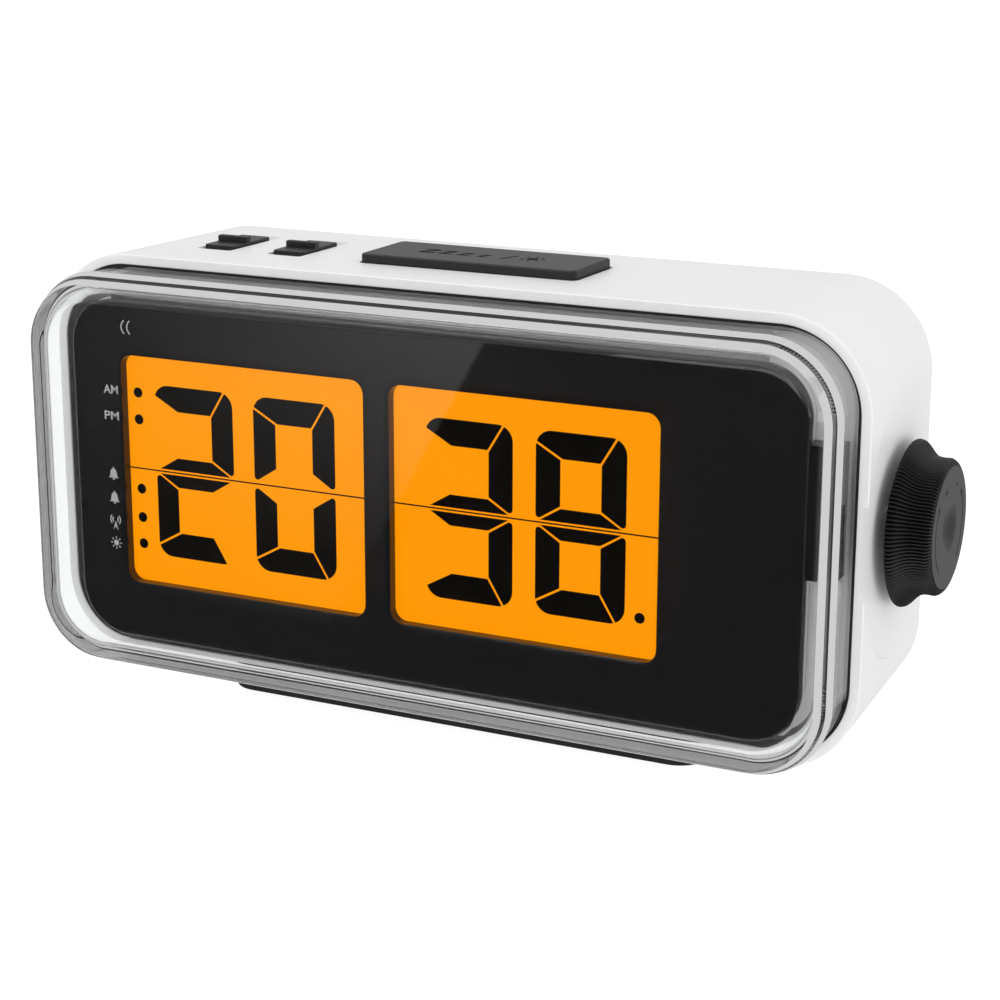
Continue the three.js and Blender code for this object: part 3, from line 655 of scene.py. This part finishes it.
def segment_outlines():
    """The upper half of an eight: top bar, two uprights, and the flap's half of the middle bar."""
    w, top, r = FIGURE_HALF_WIDTH, FIGURE_HALF_HEIGHT, FIGURE_CORNER
    left, right = (-w + r, top - r), (w - r, top - r)
    under = top - BAR
    return {
        "a": arc(left, r, 161, 90) + arc(right, r, 90, 72, 3)
        + [(w - STROKE - MITRE, under), (-w + STROKE + 2 * MITRE, under)],
        "f": arc(left, r, 169, 180, 2)
        + [(-w, 1.35), (-w + 0.12, 0.95), (-w + 0.45, 0.75), (-w + 0.8, 0.8),
           (-w + STROKE, FLAP_HALF + 2 * MITRE), (-w + STROKE, under - MITRE)],
        "b": arc(right, r, 64.5, 0, 7)
        + [(w, 1.35), (w - 0.12, 0.95), (w - 0.45, 0.75), (w - 0.8, 0.8),
           (w - STROKE, FLAP_HALF + 2 * MITRE), (w - STROKE, under - 1.7 * MITRE)],
        "g": [(-w + 0.75, FLAP_EDGE), (-w + STROKE + 0.1, FLAP_HALF),
              (w - STROKE - 0.1, FLAP_HALF), (w - 0.75, FLAP_EDGE)],
    }


LOWER = {"d": "a", "c": "b", "e": "f", "g": "g"}


def figure(character, x):
    """The lit segments of one figure, as thin plates centred on x."""
    upper = segment_outlines()
    plates = []
    for letter in SEGMENTS[character]:
        shapes = []
        if letter in upper:
            shapes.append((upper[letter], 1))
        if letter in LOWER:
            shapes.append((upper[LOWER[letter]], -1))
        for points, flip in shapes:
            placed = [(x + u, FIGURE_MID + flip * v) for u, v in points]
            plates.append(outline("segment", placed, "front", INK_Y, INK_THICK))
    return plates


def lit_amber(name):
    """Amber film lit from behind, mottled like a diffuser."""
    material = moulded(name, srgb(120, 62, 0), srgb(110, 56, 0), roughness=0.25, depth=0.0005)
    nodes, links = material.node_tree.nodes, material.node_tree.links
    shader = nodes["Principled BSDF"]
    place = nodes.new("ShaderNodeTexCoord")
    cloud = nodes.new("ShaderNodeTexNoise")
    cloud.inputs["Scale"].default_value = 1 / (30 * MM)
    links.new(place.outputs["Object"], cloud.inputs["Vector"])
    glow = nodes.new("ShaderNodeMix")
    glow.data_type = "RGBA"
    glow.inputs["A"].default_value = srgb(252, 149, 0)
    glow.inputs["B"].default_value = srgb(255, 155, 2)
    links.new(cloud.outputs["Fac"], glow.inputs["Factor"])
    links.new(glow.outputs["Result"], shader.inputs["Emission Color"])
    shader.inputs["Emission Strength"].default_value = 1.0
    shader.inputs["Specular IOR Level"].default_value = 0.1
    return material


lcd_amber = lit_amber("lcd_amber")
lcd_ink = moulded("lcd_ink", srgb(10, 8, 6), srgb(6, 5, 4), roughness=0.4, depth=0.0005)
lcd_ink.node_tree.nodes["Principled BSDF"].inputs["Specular IOR Level"].default_value = 0.1
FIGURES = {"hours": (("2", -42.75), ("0", -23.4)), "minutes": (("3", 8.55), ("8", 27.85))}
DOTS = {"hours": [(-53.67, z) for z in (54.0, 49.36, 37.27, 32.25, 27.61)], "minutes": [(38.03, 27.6)]}
DOT_RADIUS = 0.875
HAIRLINE_HALF = 0.12
HAIRLINE_INSET = 0.6
for side, places in FIGURES.items():
    low, high = corners(f"lcd_{side}")
    glass = slab(f"display_{side}", low, high, "Y", 0.8, 5)
    smooth(glass)
    finish(glass, lcd_amber, "clock_body", [f"lcd_{side}"])
    ink = []
    for character, x in places:
        ink += figure(character, x)
    for x, z in DOTS[side]:
        ink.append(turned("dot", "Y", [(INK_Y, DOT_RADIUS), (INK_Y + INK_THICK, DOT_RADIUS)], (x, z), 32))
    ink.append(block("hairline", (low[0] + HAIRLINE_INSET, INK_Y, FIGURE_MID - HAIRLINE_HALF),
                     (high[0] - HAIRLINE_INSET, INK_Y + INK_THICK, FIGURE_MID + HAIRLINE_HALF)))
    finish(join(f"figures_{side}", ink), lcd_ink, "clock_body")

# ---------- marks beside the displays ----------
# Fine grey marks printed on the face plate left of the dots: morning and afternoon, two alarm bells, a
# time-signal mast and a sun for summer time, and a pair of sound waves in the top left corner.
MARK_Y = PANEL_Y - 0.02
MARK_INK = 0.015
mark_grey = moulded("mark_grey", srgb(176, 176, 176), srgb(166, 166, 166), roughness=0.5, depth=0.0005)


def letters(text, left, foot, height, width):
    """Plain letters on the face plate, fitted to that height and width."""
    bpy.ops.object.select_all(action="DESELECT")
    bpy.ops.object.text_add(location=(0, 0, 0))
    word = bpy.context.object
    word.data.body = text
    word.data.extrude = MARK_INK / 2 * MM
    word.data.size = height * MM
    word.data.offset = 0.015 * height * MM
    bpy.ops.object.convert(target="MESH")
    word = bpy.context.object
    start = [min(v.co[n] for v in word.data.vertices) for n in (0, 1)]
    span = [max(v.co[n] for v in word.data.vertices) - start[n] for n in (0, 1)]
    for vertex in word.data.vertices:
        across = (vertex.co[0] - start[0]) / span[0] * width
        up = (vertex.co[1] - start[1]) / span[1] * height
        back = vertex.co[2] / MM
        vertex.co = ((left + across) * MM, (MARK_Y - back) * MM, (foot + up) * MM)
    return word


def mark(points):
    return outline("mark", points, "front", MARK_Y, MARK_INK)


def bell(x, z):
    """A hand bell 2 mm wide: a domed cup, a flared lip and a clapper."""
    dome = arc((x, z + 0.25), 0.62, 180, 0, 10)
    lip = [(x + 0.72, z - 0.45), (x + 1.0, z - 0.75), (x - 1.0, z - 0.75), (x - 0.72, z - 0.45)]
    return [mark(dome + lip), mark(arc((x, z - 0.85), 0.28, 180, 360, 6)),
            mark(arc((x, z + 0.98), 0.16, 0, 360, 8)[:-1])]


def ring_part(x, z, radius, width, start, end):
    outer = arc((x, z), radius + width / 2, start, end)
    inner = arc((x, z), radius - width / 2, end, start)
    return mark(outer + inner)


def rays(centre, start, end, half):
    """The outlines of a sun's eight rays, from start to end from its centre."""
    shapes = []
    for n in range(8):
        turn = math.radians(45 * n)
        ray = Vector((math.cos(turn), math.sin(turn)))
        side = Vector((-ray.y, ray.x)) * half
        ends = ((start, -1), (end, -1), (end, 1), (start, 1))
        shapes.append([tuple(Vector(centre) + ray * reach + side * flip) for reach, flip in ends])
    return shapes


LETTERS_LEFT = -59.0
LETTER_HEIGHT = 1.45
LETTERS_WIDTH = 2.9
MARK_X = -57.7
marks = [letters("AM", LETTERS_LEFT, 53.9, LETTER_HEIGHT, LETTERS_WIDTH),
         letters("PM", LETTERS_LEFT, 49.4, LETTER_HEIGHT, LETTERS_WIDTH)]
for z in (40.0, 35.8):
    marks += bell(MARK_X, z)
MAST = (MARK_X, 31.6)
marks.append(mark([(MAST[0] - 0.5, MAST[1] - 1.5), (MAST[0], MAST[1] + 0.1), (MAST[0] + 0.5, MAST[1] - 1.5),
                   (MAST[0], MAST[1] - 0.9)]))
for radius in (0.55, 1.0):
    marks.append(ring_part(MAST[0], MAST[1] + 0.3, radius, 0.2, -45, 45))
    marks.append(ring_part(MAST[0], MAST[1] + 0.3, radius, 0.2, 135, 225))
SUN = (MARK_X, 27.8)
marks.append(mark(arc(SUN, 0.5, 0, 360, 14)[:-1]))
marks += [mark(points) for points in rays(SUN, 0.72, 1.1, 0.1)]
for shift in (0, 1.15):
    marks.append(ring_part(-53.6 + shift, 65.5, 1.35, 0.22, 125, 235))
finish(join("face_marks", marks), mark_grey, "clock_body")

# ---------- snooze bar ----------
# A long black ABS key that stands proud of the top. A row of sleep marks, a slash and a sun are engraved
# in its satin top, and its flange stays inside the housing on two rubber domes.
black_abs = moulded("black_abs", srgb(27, 27, 28), srgb(21, 21, 22), roughness=0.42)
bar_low, bar_high = corners("snooze_bar")
BAR_TOP = 78.05
FLANGE_TOP = 73.6
bar = slab("snooze_key", (SNOOZE_LOW[0], SNOOZE_LOW[1], FLANGE_TOP - 0.2),
           (SNOOZE_HIGH[0], SNOOZE_HIGH[1], BAR_TOP), "Z", 1.1, 8)
round_loop(bar, "Z", BAR_TOP, 0.4, 4)
flange = slab("flange", bar_low, (bar_high[0], bar_high[1], FLANGE_TOP), "Z", 2.6, 6)
combine(bar, "UNION", flange)
ENGRAVING = 0.16
CARVE = BAR_TOP - ENGRAVING


def carve(points):
    return outline("tool", points, "top", CARVE, 1)


def sleep_mark(x, y, size):
    """A zigzag stroke, drawn as one outline."""
    w, h, t = size * 0.9, size, size * 0.2
    return carve([(x, y), (x + w, y), (x + w, y + t), (x + 1.75 * t, y + t), (x + w, y + h - t),
                  (x + w, y + h), (x, y + h), (x, y + h - t), (x + w - 1.75 * t, y + h - t), (x, y + t)])


BAR_MID = ((SNOOZE_LOW[0] + SNOOZE_HIGH[0]) / 2, (SNOOZE_LOW[1] + SNOOZE_HIGH[1]) / 2)
tools = []
for n, size in enumerate((3.4, 3.0, 2.6, 2.2)):
    tools.append(sleep_mark(BAR_MID[0] - 11.6 + 3.55 * n, BAR_MID[1] - 1.7, size))
slash = BAR_MID[0] + 3.4
tools.append(carve([(slash, BAR_MID[1] - 1.9), (slash + 0.55, BAR_MID[1] - 1.9),
                    (slash + 2.0, BAR_MID[1] + 1.9), (slash + 1.45, BAR_MID[1] + 1.9)]))
lamp = (BAR_MID[0] + 8.6, BAR_MID[1])
tools.append(carve(arc(lamp, 1.0, 0, 360, 20)[:-1]))
tools += [carve(points) for points in rays(lamp, 1.45, 2.2, 0.2)]
combine(bar, "DIFFERENCE", *tools)
smooth(bar)
finish(bar, black_abs, "snooze", ["snooze_bar"])
engraved_black = moulded("engraved_black", srgb(14, 14, 14), srgb(9, 9, 9), roughness=0.7)
bar.data.materials.append(engraved_black)
for face in bar.data.polygons:
    if abs(face.center.z / MM - CARVE) < 0.01 and face.normal.z > 0.9:
        face.material_index = 1

# ---------- alarm switches ----------
# Two black slide caps in shallow scoops of the top. Each is a flat plate with a grip rib across it, and a
# stem that reaches the slide switch under the skin.
PLATE_HALF = 2.95
RIB_HALF = PLATE_HALF - 0.05
STEM_HALF = 1.5
STEM_Y = (-3, 1)
STEM_FOOT = 70.6
PLATE_FRONT, PLATE_BACK = -5.3, 6.5
PLATE_BOTTOM = housing_top - 0.45
PLATE_TOP = housing_top + 0.4
RIB_FRONT, RIB_BACK = -1.0, 0.2
RIB_TOP = PLATE_TOP + 1.0
for name, x in SLIDER_X.items():
    cap = slab(f"{name}_cap", (x - PLATE_HALF, PLATE_FRONT, PLATE_BOTTOM),
               (x + PLATE_HALF, PLATE_BACK, PLATE_TOP), "Z", 0.5, 5)
    round_loop(cap, "Z", PLATE_TOP, 0.15, 3)
    rib = block("rib", (x - RIB_HALF, RIB_FRONT, PLATE_TOP - 0.2), (x + RIB_HALF, RIB_BACK, RIB_TOP))
    round_loop(rib, "Z", RIB_TOP, 0.2, 3)
    stem = block("stem", (x - STEM_HALF, STEM_Y[0], STEM_FOOT),
                 (x + STEM_HALF, STEM_Y[1], PLATE_BOTTOM + 0.2))
    combine(cap, "UNION", rib, stem)
    smooth(cap)
    finish(cap, black_abs, name, [f"{name}_slider"])

# ---------- dial ----------
# A turn-and-push knob in black ABS with a drawn-in waist. A hundred and twenty fine flutes run along it,
# and the flat end has a thumb dimple, dark plus and minus signs and a pair of turning arrows.
DIAL_FACE_X = 79.5
FLUTES = 120
FLUTE_DEPTH = 0.5
FLUTE_MEAN_RADIUS = 11.8
FLUTED = (73.05, 79.47)
DIMPLE_RADIUS = 4.2
DIMPLE_DEPTH = 1.0
waist = [(73.0, 12.75), (73.12, 13.0), (73.35, 13.15), (73.65, 13.12), (74.0, 13.0), (74.35, 12.7),
         (74.7, 12.3), (75.05, 11.9), (75.4, 11.55), (75.75, 11.24), (76.1, 11.0), (76.5, 10.84),
         (76.9, 10.75), (77.35, 10.7), (77.8, 10.7), (78.2, 10.73), (78.5, 10.75), (78.75, 10.66),
         (79.0, 10.5), (79.2, 10.32), (79.35, 10.1), (79.45, 9.85), (DIAL_FACE_X, 9.6)]
dimple = []
for step in range(8):
    lean = step / 7
    depth = DIMPLE_DEPTH * math.sin(lean * math.pi / 2) ** 1.4
    dimple.append((DIAL_FACE_X - depth, DIMPLE_RADIUS * (1 - lean) + 0.02))
knob = turned("dial_cap", "X", waist + dimple, (DIAL_Y, DIAL_Z), 2 * FLUTES)
bpy.ops.object.mode_set(mode="EDIT")
bpy.ops.mesh.select_mode(type="VERT")
bpy.ops.mesh.select_all(action="DESELECT")
leave_edit()
for vertex in knob.data.vertices:
    x, y, z = vertex.co / MM
    column = round(math.degrees(math.atan2(z - DIAL_Z, y - DIAL_Y)) / (360 / (2 * FLUTES)))
    radius = math.hypot(z - DIAL_Z, y - DIAL_Y)
    vertex.select = column % 2 == 0 and radius > 9.7 and FLUTED[0] < x < FLUTED[1]
bpy.ops.object.mode_set(mode="EDIT")
squeeze = 1 - FLUTE_DEPTH / FLUTE_MEAN_RADIUS
bpy.ops.transform.resize(value=(1, squeeze, squeeze), center_override=(0, DIAL_Y * MM, DIAL_Z * MM))
leave_edit()
smooth(knob, 24)
finish(knob, black_abs, "dial", ["dial_knob"])


def fluted(name):
    """The black plastic where it is fluted, with painted light and shade: crests painted lighter as a
    highlight, and grooves painted nearly black as shade.
    """
    material = moulded(name, srgb(46, 46, 47), srgb(40, 40, 41), roughness=0.38)
    tree = material.node_tree
    nodes, links = tree.nodes, tree.links
    shader = nodes["Principled BSDF"]
    lit_crest_colour = shader.inputs["Base Color"].links[0].from_socket
    place = nodes.new("ShaderNodeTexCoord")
    centre = nodes.new("ShaderNodeVectorMath")
    centre.operation = "SUBTRACT"
    centre.inputs[1].default_value = (0, DIAL_Y * MM, DIAL_Z * MM)
    links.new(place.outputs["Object"], centre.inputs[0])
    parts = nodes.new("ShaderNodeSeparateXYZ")
    links.new(centre.outputs[0], parts.inputs[0])
    turn = maths(tree, "ARCTAN2", parts.outputs["Z"], parts.outputs["Y"])
    wave = maths(tree, "PINGPONG", maths(tree, "MULTIPLY", turn, FLUTES / (2 * math.pi)), 0.5)
    crest = nodes.new("ShaderNodeMapRange")
    crest.inputs["From Min"].default_value = 0.2
    crest.inputs["From Max"].default_value = 0.42
    links.new(wave, crest.inputs["Value"])
    shade = nodes.new("ShaderNodeMix")
    shade.data_type = "RGBA"
    # Painted shade: the grooves are coloured nearly black; the crests keep the lighter colour as a painted
    # highlight.
    shade.inputs["A"].default_value = srgb(4, 4, 4)
    links.new(crest.outputs[0], shade.inputs["Factor"])
    links.new(lit_crest_colour, shade.inputs["B"])
    links.new(shade.outputs["Result"], shader.inputs["Base Color"])
    return material


# The fluted faces of the knob take the painted crest highlights and groove shade.
knob.data.materials.append(fluted("black_flutes_painted_light"))
for face in knob.data.polygons:
    x, y, z = face.center / MM
    if FLUTED[0] < x < FLUTED[1] and math.hypot(y - DIAL_Y, z - DIAL_Z) > 9.6:
        face.material_index = 1


def dial_mark(points):
    placed = [(DIAL_Y + u, DIAL_Z + v) for u, v in points]
    return outline("mark", placed, "side", DIAL_FACE_X - 0.05, 0.065)


def dial_arc(start, end):
    """A turning arrow: a fine arc with a head at its far end."""
    radius, width, wing = 7.6, 0.14, 0.6
    stroke = arc((0, 0), radius + width, start, end, 24) + arc((0, 0), radius - width, end, start, 24)
    tip = math.radians(end + (8 if end > start else -8))
    back = math.radians(end)
    places = ((radius, tip), (radius + wing, back), (radius - wing, back))
    head = [(reach * math.cos(turn), reach * math.sin(turn)) for reach, turn in places]
    return [dial_mark(stroke), dial_mark(head)]


dial_marks = dial_arc(-130, -212) + dial_arc(-50, 32)
for u in (-2.5, 3.2):
    dial_marks.append(dial_mark([(u - 0.75, 6.05), (u + 0.75, 6.05), (u + 0.75, 6.3), (u - 0.75, 6.3)]))
dial_marks.append(dial_mark([(-2.62, 5.42), (-2.38, 5.42), (-2.38, 6.93), (-2.62, 6.93)]))
dial_marks = join("dial_marks", dial_marks)
finish(dial_marks, engraved_black, "dial")

# ---------- foot ----------
# A shallow black plinth screwed under the middle of the housing, with a thin rubber sole that stops the
# clock sliding. Both have rounded ends, and the plinth's rounded lower edge steps in to the sole.
foot_low, foot_high = corners("base_foot")
foot = slab("plinth", foot_low, foot_high, "Z", 6, 10)
round_loop(foot, "Z", foot_low[2], 0.3, 3)
FOOT_SCREWS = ((-30, 7), (30, 7))
for spot in FOOT_SCREWS:
    combine(foot, "DIFFERENCE", turned("hole", "Z", [(0, 1.5), (10, 1.5)], spot, 32),
            turned("sink", "Z", [(0, 2.8), (3, 2.8)], spot, 32))
smooth(foot)
finish(foot, black_abs, "clock_body", ["base_foot"])
pad_low, pad_high = corners("foot_pad")
sole = slab("rubber_sole", pad_low, pad_high, "Z", 5.2, 10)
round_loop(sole, "Z", pad_low[2], 0.25, 3)
smooth(sole)
foot_rubber = moulded("foot_rubber", srgb(34, 34, 34), srgb(27, 27, 27), roughness=0.8, grain=0.5, depth=0.01)
finish(sole, foot_rubber, "clock_body", ["foot_pad"])

# ---------- back cover ----------
# A white ABS plate set into the rear pocket and held by four screws, with sound slots over the buzzer and
# an opening for the battery door. Its outer edges are softly rounded and each screw sits in a recess.
cover_low, cover_high = corners("rear_cover")
door_low, door_high = corners("battery_door")
DOOR_GAP = 0.4
INSIDE_Y = 10
OUTSIDE_Y = 30
RECESS_RADIUS = 3
RECESS_Y = BACK_Y - 1.3
cover = slab("back_cover", cover_low, cover_high, "Y", 11.9, 16)
combine(cover, "DIFFERENCE", block(
    "opening", (door_low[0] - DOOR_GAP, INSIDE_Y, door_low[2] - DOOR_GAP),
    (door_high[0] + DOOR_GAP, OUTSIDE_Y, door_high[2] + DOOR_GAP)))
round_loop(cover, "Y", BACK_Y, 0.3, 3)
for side in (-1, 1):
    for up in (-1, 1):
        spot = (side * COVER_SCREW_X, MID_HEIGHT + up * COVER_SCREW_Z)
        combine(cover, "DIFFERENCE", turned("hole", "Y", [(INSIDE_Y, 1.5), (OUTSIDE_Y, 1.5)], spot, 32),
                turned("recess", "Y", [(RECESS_Y, RECESS_RADIUS), (OUTSIDE_Y, RECESS_RADIUS)], spot, 40))
GRILLE_X = 34
GRILLE_PITCH = 3
GRILLE_REACH = (6, 7.5)
SLOT_HALF = 0.6
for row in range(-2, 3):
    reach = GRILLE_REACH[row % 2]
    z = MID_HEIGHT + row * GRILLE_PITCH
    combine(cover, "DIFFERENCE", slab("slot", (GRILLE_X - reach, INSIDE_Y, z - SLOT_HALF),
                                      (GRILLE_X + reach, OUTSIDE_Y, z + SLOT_HALF), "Y", 0.55, 6))
smooth(cover)
finish(cover, white_abs, "clock_body", ["rear_cover"])

# ---------- battery door ----------
# A flat white lid that turns down on its lower edge. A notch for a fingernail and three grip grooves mark
# the side that opens.
door = slab("battery_lid", door_low, door_high, "Y", 0.8, 5)
round_loop(door, "Y", BACK_Y, 0.3, 3)
NOTCH_X = (-34, -22)
NOTCH_DEPTH = 0.7
GROOVE_DEPTH = 0.3
GROOVE_HALF = 0.3
GROOVE_PITCH = 1.5
combine(door, "DIFFERENCE", slab("notch", (NOTCH_X[0], BACK_Y - NOTCH_DEPTH, door_high[2] - 4),
                                 (NOTCH_X[1], OUTSIDE_Y, door_high[2] - 2.2), "Y", 0.85, 6))
for step in range(3):
    z = door_high[2] - 6 - GROOVE_PITCH * step
    combine(door, "DIFFERENCE", slab("groove", (NOTCH_X[0] - 1, BACK_Y - GROOVE_DEPTH, z - GROOVE_HALF),
                                     (NOTCH_X[1] + 1, OUTSIDE_Y, z + GROOVE_HALF), "Y", 0.28, 4))
smooth(door)
finish(door, white_abs, "battery_door", ["battery_door"])

# ---------- back cover screws ----------
# Nickel-plated pan-head screws, driven into the housing's four bosses. Each is turned as one profile,
# and two crossed slots make the recess in its head.
SCREW_HEAD = 1.1
CROSS_REACH = 1.5
CROSS_HALF = 0.28
steel = moulded("steel", srgb(196, 197, 200), srgb(176, 178, 181), roughness=0.3, swing=0.08, grain=0.8,
                depth=0.002, metal=1.0)
for number in range(1, 5):
    low, high = corners(f"cover_screw_{number}")
    centre = ((low[0] + high[0]) / 2, (low[2] + high[2]) / 2)
    head = high[1] - SCREW_HEAD
    screw = turned(f"back_screw_{number}", "Y", [
        (low[1], 0.4), (low[1] + 0.8, 1.1), (head, 1.1), (head + 0.01, 2.6), (head + 0.55, 2.6),
        (head + 0.8, 2.45), (head + 1.0, 2.1), (high[1], 1.5)], centre, 40)
    x, z = centre
    for wide, tall in ((CROSS_REACH, CROSS_HALF), (CROSS_HALF, CROSS_REACH)):
        combine(screw, "DIFFERENCE", block("slot", (x - wide, head + 0.45, z - tall),
                                           (x + wide, OUTSIDE_Y, z + tall)))
    smooth(screw)
    finish(screw, steel, "clock_body", [f"cover_screw_{number}"])

# ---------- battery cells ----------
# Three small round cells under the door, the middle one turned about: a blue film sleeve with a pale band
# near the positive end, drawn in over the plated steel can and its nipple.
cell_film = moulded("cell_film", srgb(66, 118, 156), srgb(58, 106, 144), roughness=0.3, mottle=8.0,
                    depth=0.001)
cell_band = moulded("cell_band", srgb(206, 208, 210), srgb(196, 198, 200), roughness=0.3, mottle=8.0,
                    depth=0.001)
CELL_RADIUS = 7.1
CELL_BAND = (9, 15)
NIPPLE = 1.1
for number in range(1, 4):
    low, high = corners(f"battery_cell_{number}")
    centre = ((low[1] + high[1]) / 2, (low[2] + high[2]) / 2)
    shape = [(0, 2.4), (0.2, 2.7), (1.0, 2.75), (1.02, 5.9), (1.3, 6.6), (1.7, CELL_RADIUS),
             (CELL_BAND[0], CELL_RADIUS), (CELL_BAND[1], CELL_RADIUS), (50.4, CELL_RADIUS),
             (50.8, 6.8), (high[0] - low[0], 6.2)]
    if number == 2:
        profile = [(high[0] - along, radius) for along, radius in shape]
    else:
        profile = [(low[0] + along, radius) for along, radius in shape]
    cell = turned(f"cell_{number}", "X", profile, centre, 48)
    smooth(cell)
    finish(cell, cell_film, "clock_body", [f"battery_cell_{number}"])
    cell.data.materials.append(steel)
    cell.data.materials.append(cell_band)
    for face in cell.data.polygons:
        along = face.center.x / MM - low[0]
        if number == 2:
            along = high[0] - face.center.x / MM
        if along < NIPPLE or along > high[0] - low[0] - 0.05:
            face.material_index = 1
        elif CELL_BAND[0] < along < CELL_BAND[1]:
            face.material_index = 2

# ---------- works ----------
# What sits inside keeps the frame's own shapes: green boards with their parts, plated steel switches,
# springs and screws, pale rubber domes and light guides, the white display frame and black battery tray.
board_green = moulded("board_green", srgb(36, 98, 60), srgb(26, 80, 46), roughness=0.35, mottle=3.0,
                      grain=0.6)
chip_black = moulded("chip_black", srgb(34, 34, 35), srgb(27, 27, 28), roughness=0.6, grain=0.2)
silicone = moulded("silicone", srgb(222, 219, 210), srgb(210, 207, 198), roughness=0.6, mottle=4.0, grain=0.5)
guide_clear = moulded("guide_clear", srgb(247, 247, 242), srgb(240, 240, 234), roughness=0.25, depth=0.001)
led_phosphor = moulded("led_phosphor", srgb(255, 236, 184), srgb(250, 226, 168), roughness=0.35, mottle=1.0)
zebra_rubber = moulded("zebra_rubber", srgb(98, 98, 99), srgb(82, 82, 83), roughness=0.75, mottle=1.0,
                       grain=0.1)
ferrite = moulded("ferrite", srgb(62, 60, 62), srgb(52, 50, 52), roughness=0.6, mottle=2.0, grain=0.3)
copper_wire = moulded("copper_wire", srgb(190, 112, 58), srgb(164, 90, 42), roughness=0.3, mottle=1.0,
                      grain=0.25, depth=0.03, metal=0.7)
WORKS = (
    (board_green, ("main_board", "switch_board", "encoder_board")),
    (chip_black, ("clock_chip", "sounder")),
    (silicone, ("snooze_dome_left", "snooze_dome_right")),
    (guide_clear, ("light_guide_hours", "light_guide_minutes", "reflector_hours", "reflector_minutes")),
    (led_phosphor, ("backlight_led_hours", "backlight_led_minutes")),
    (zebra_rubber, ("zebra_strip_hours", "zebra_strip_minutes")),
    (ferrite, ("antenna_rod",)),
    (copper_wire, ("antenna_coil",)),
    (white_abs, ("display_frame",)),
    (black_abs, ("battery_tray", "encoder_plunger")),
    (steel, ("crystal", "encoder_body", "encoder_nut", "encoder_shaft", "alarm_1_switch", "alarm_2_switch",
             "board_screw_1", "board_screw_2", "board_screw_3", "board_screw_4", "switch_board_screw_1",
             "switch_board_screw_2", "foot_screw_left", "foot_screw_right", "battery_plate_1",
             "battery_plate_2", "battery_plate_3", "battery_spring_1", "battery_spring_2",
             "battery_spring_3")),
)
for material, names in WORKS:
    for name in names:
        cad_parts[name].material_slots[0].material = material
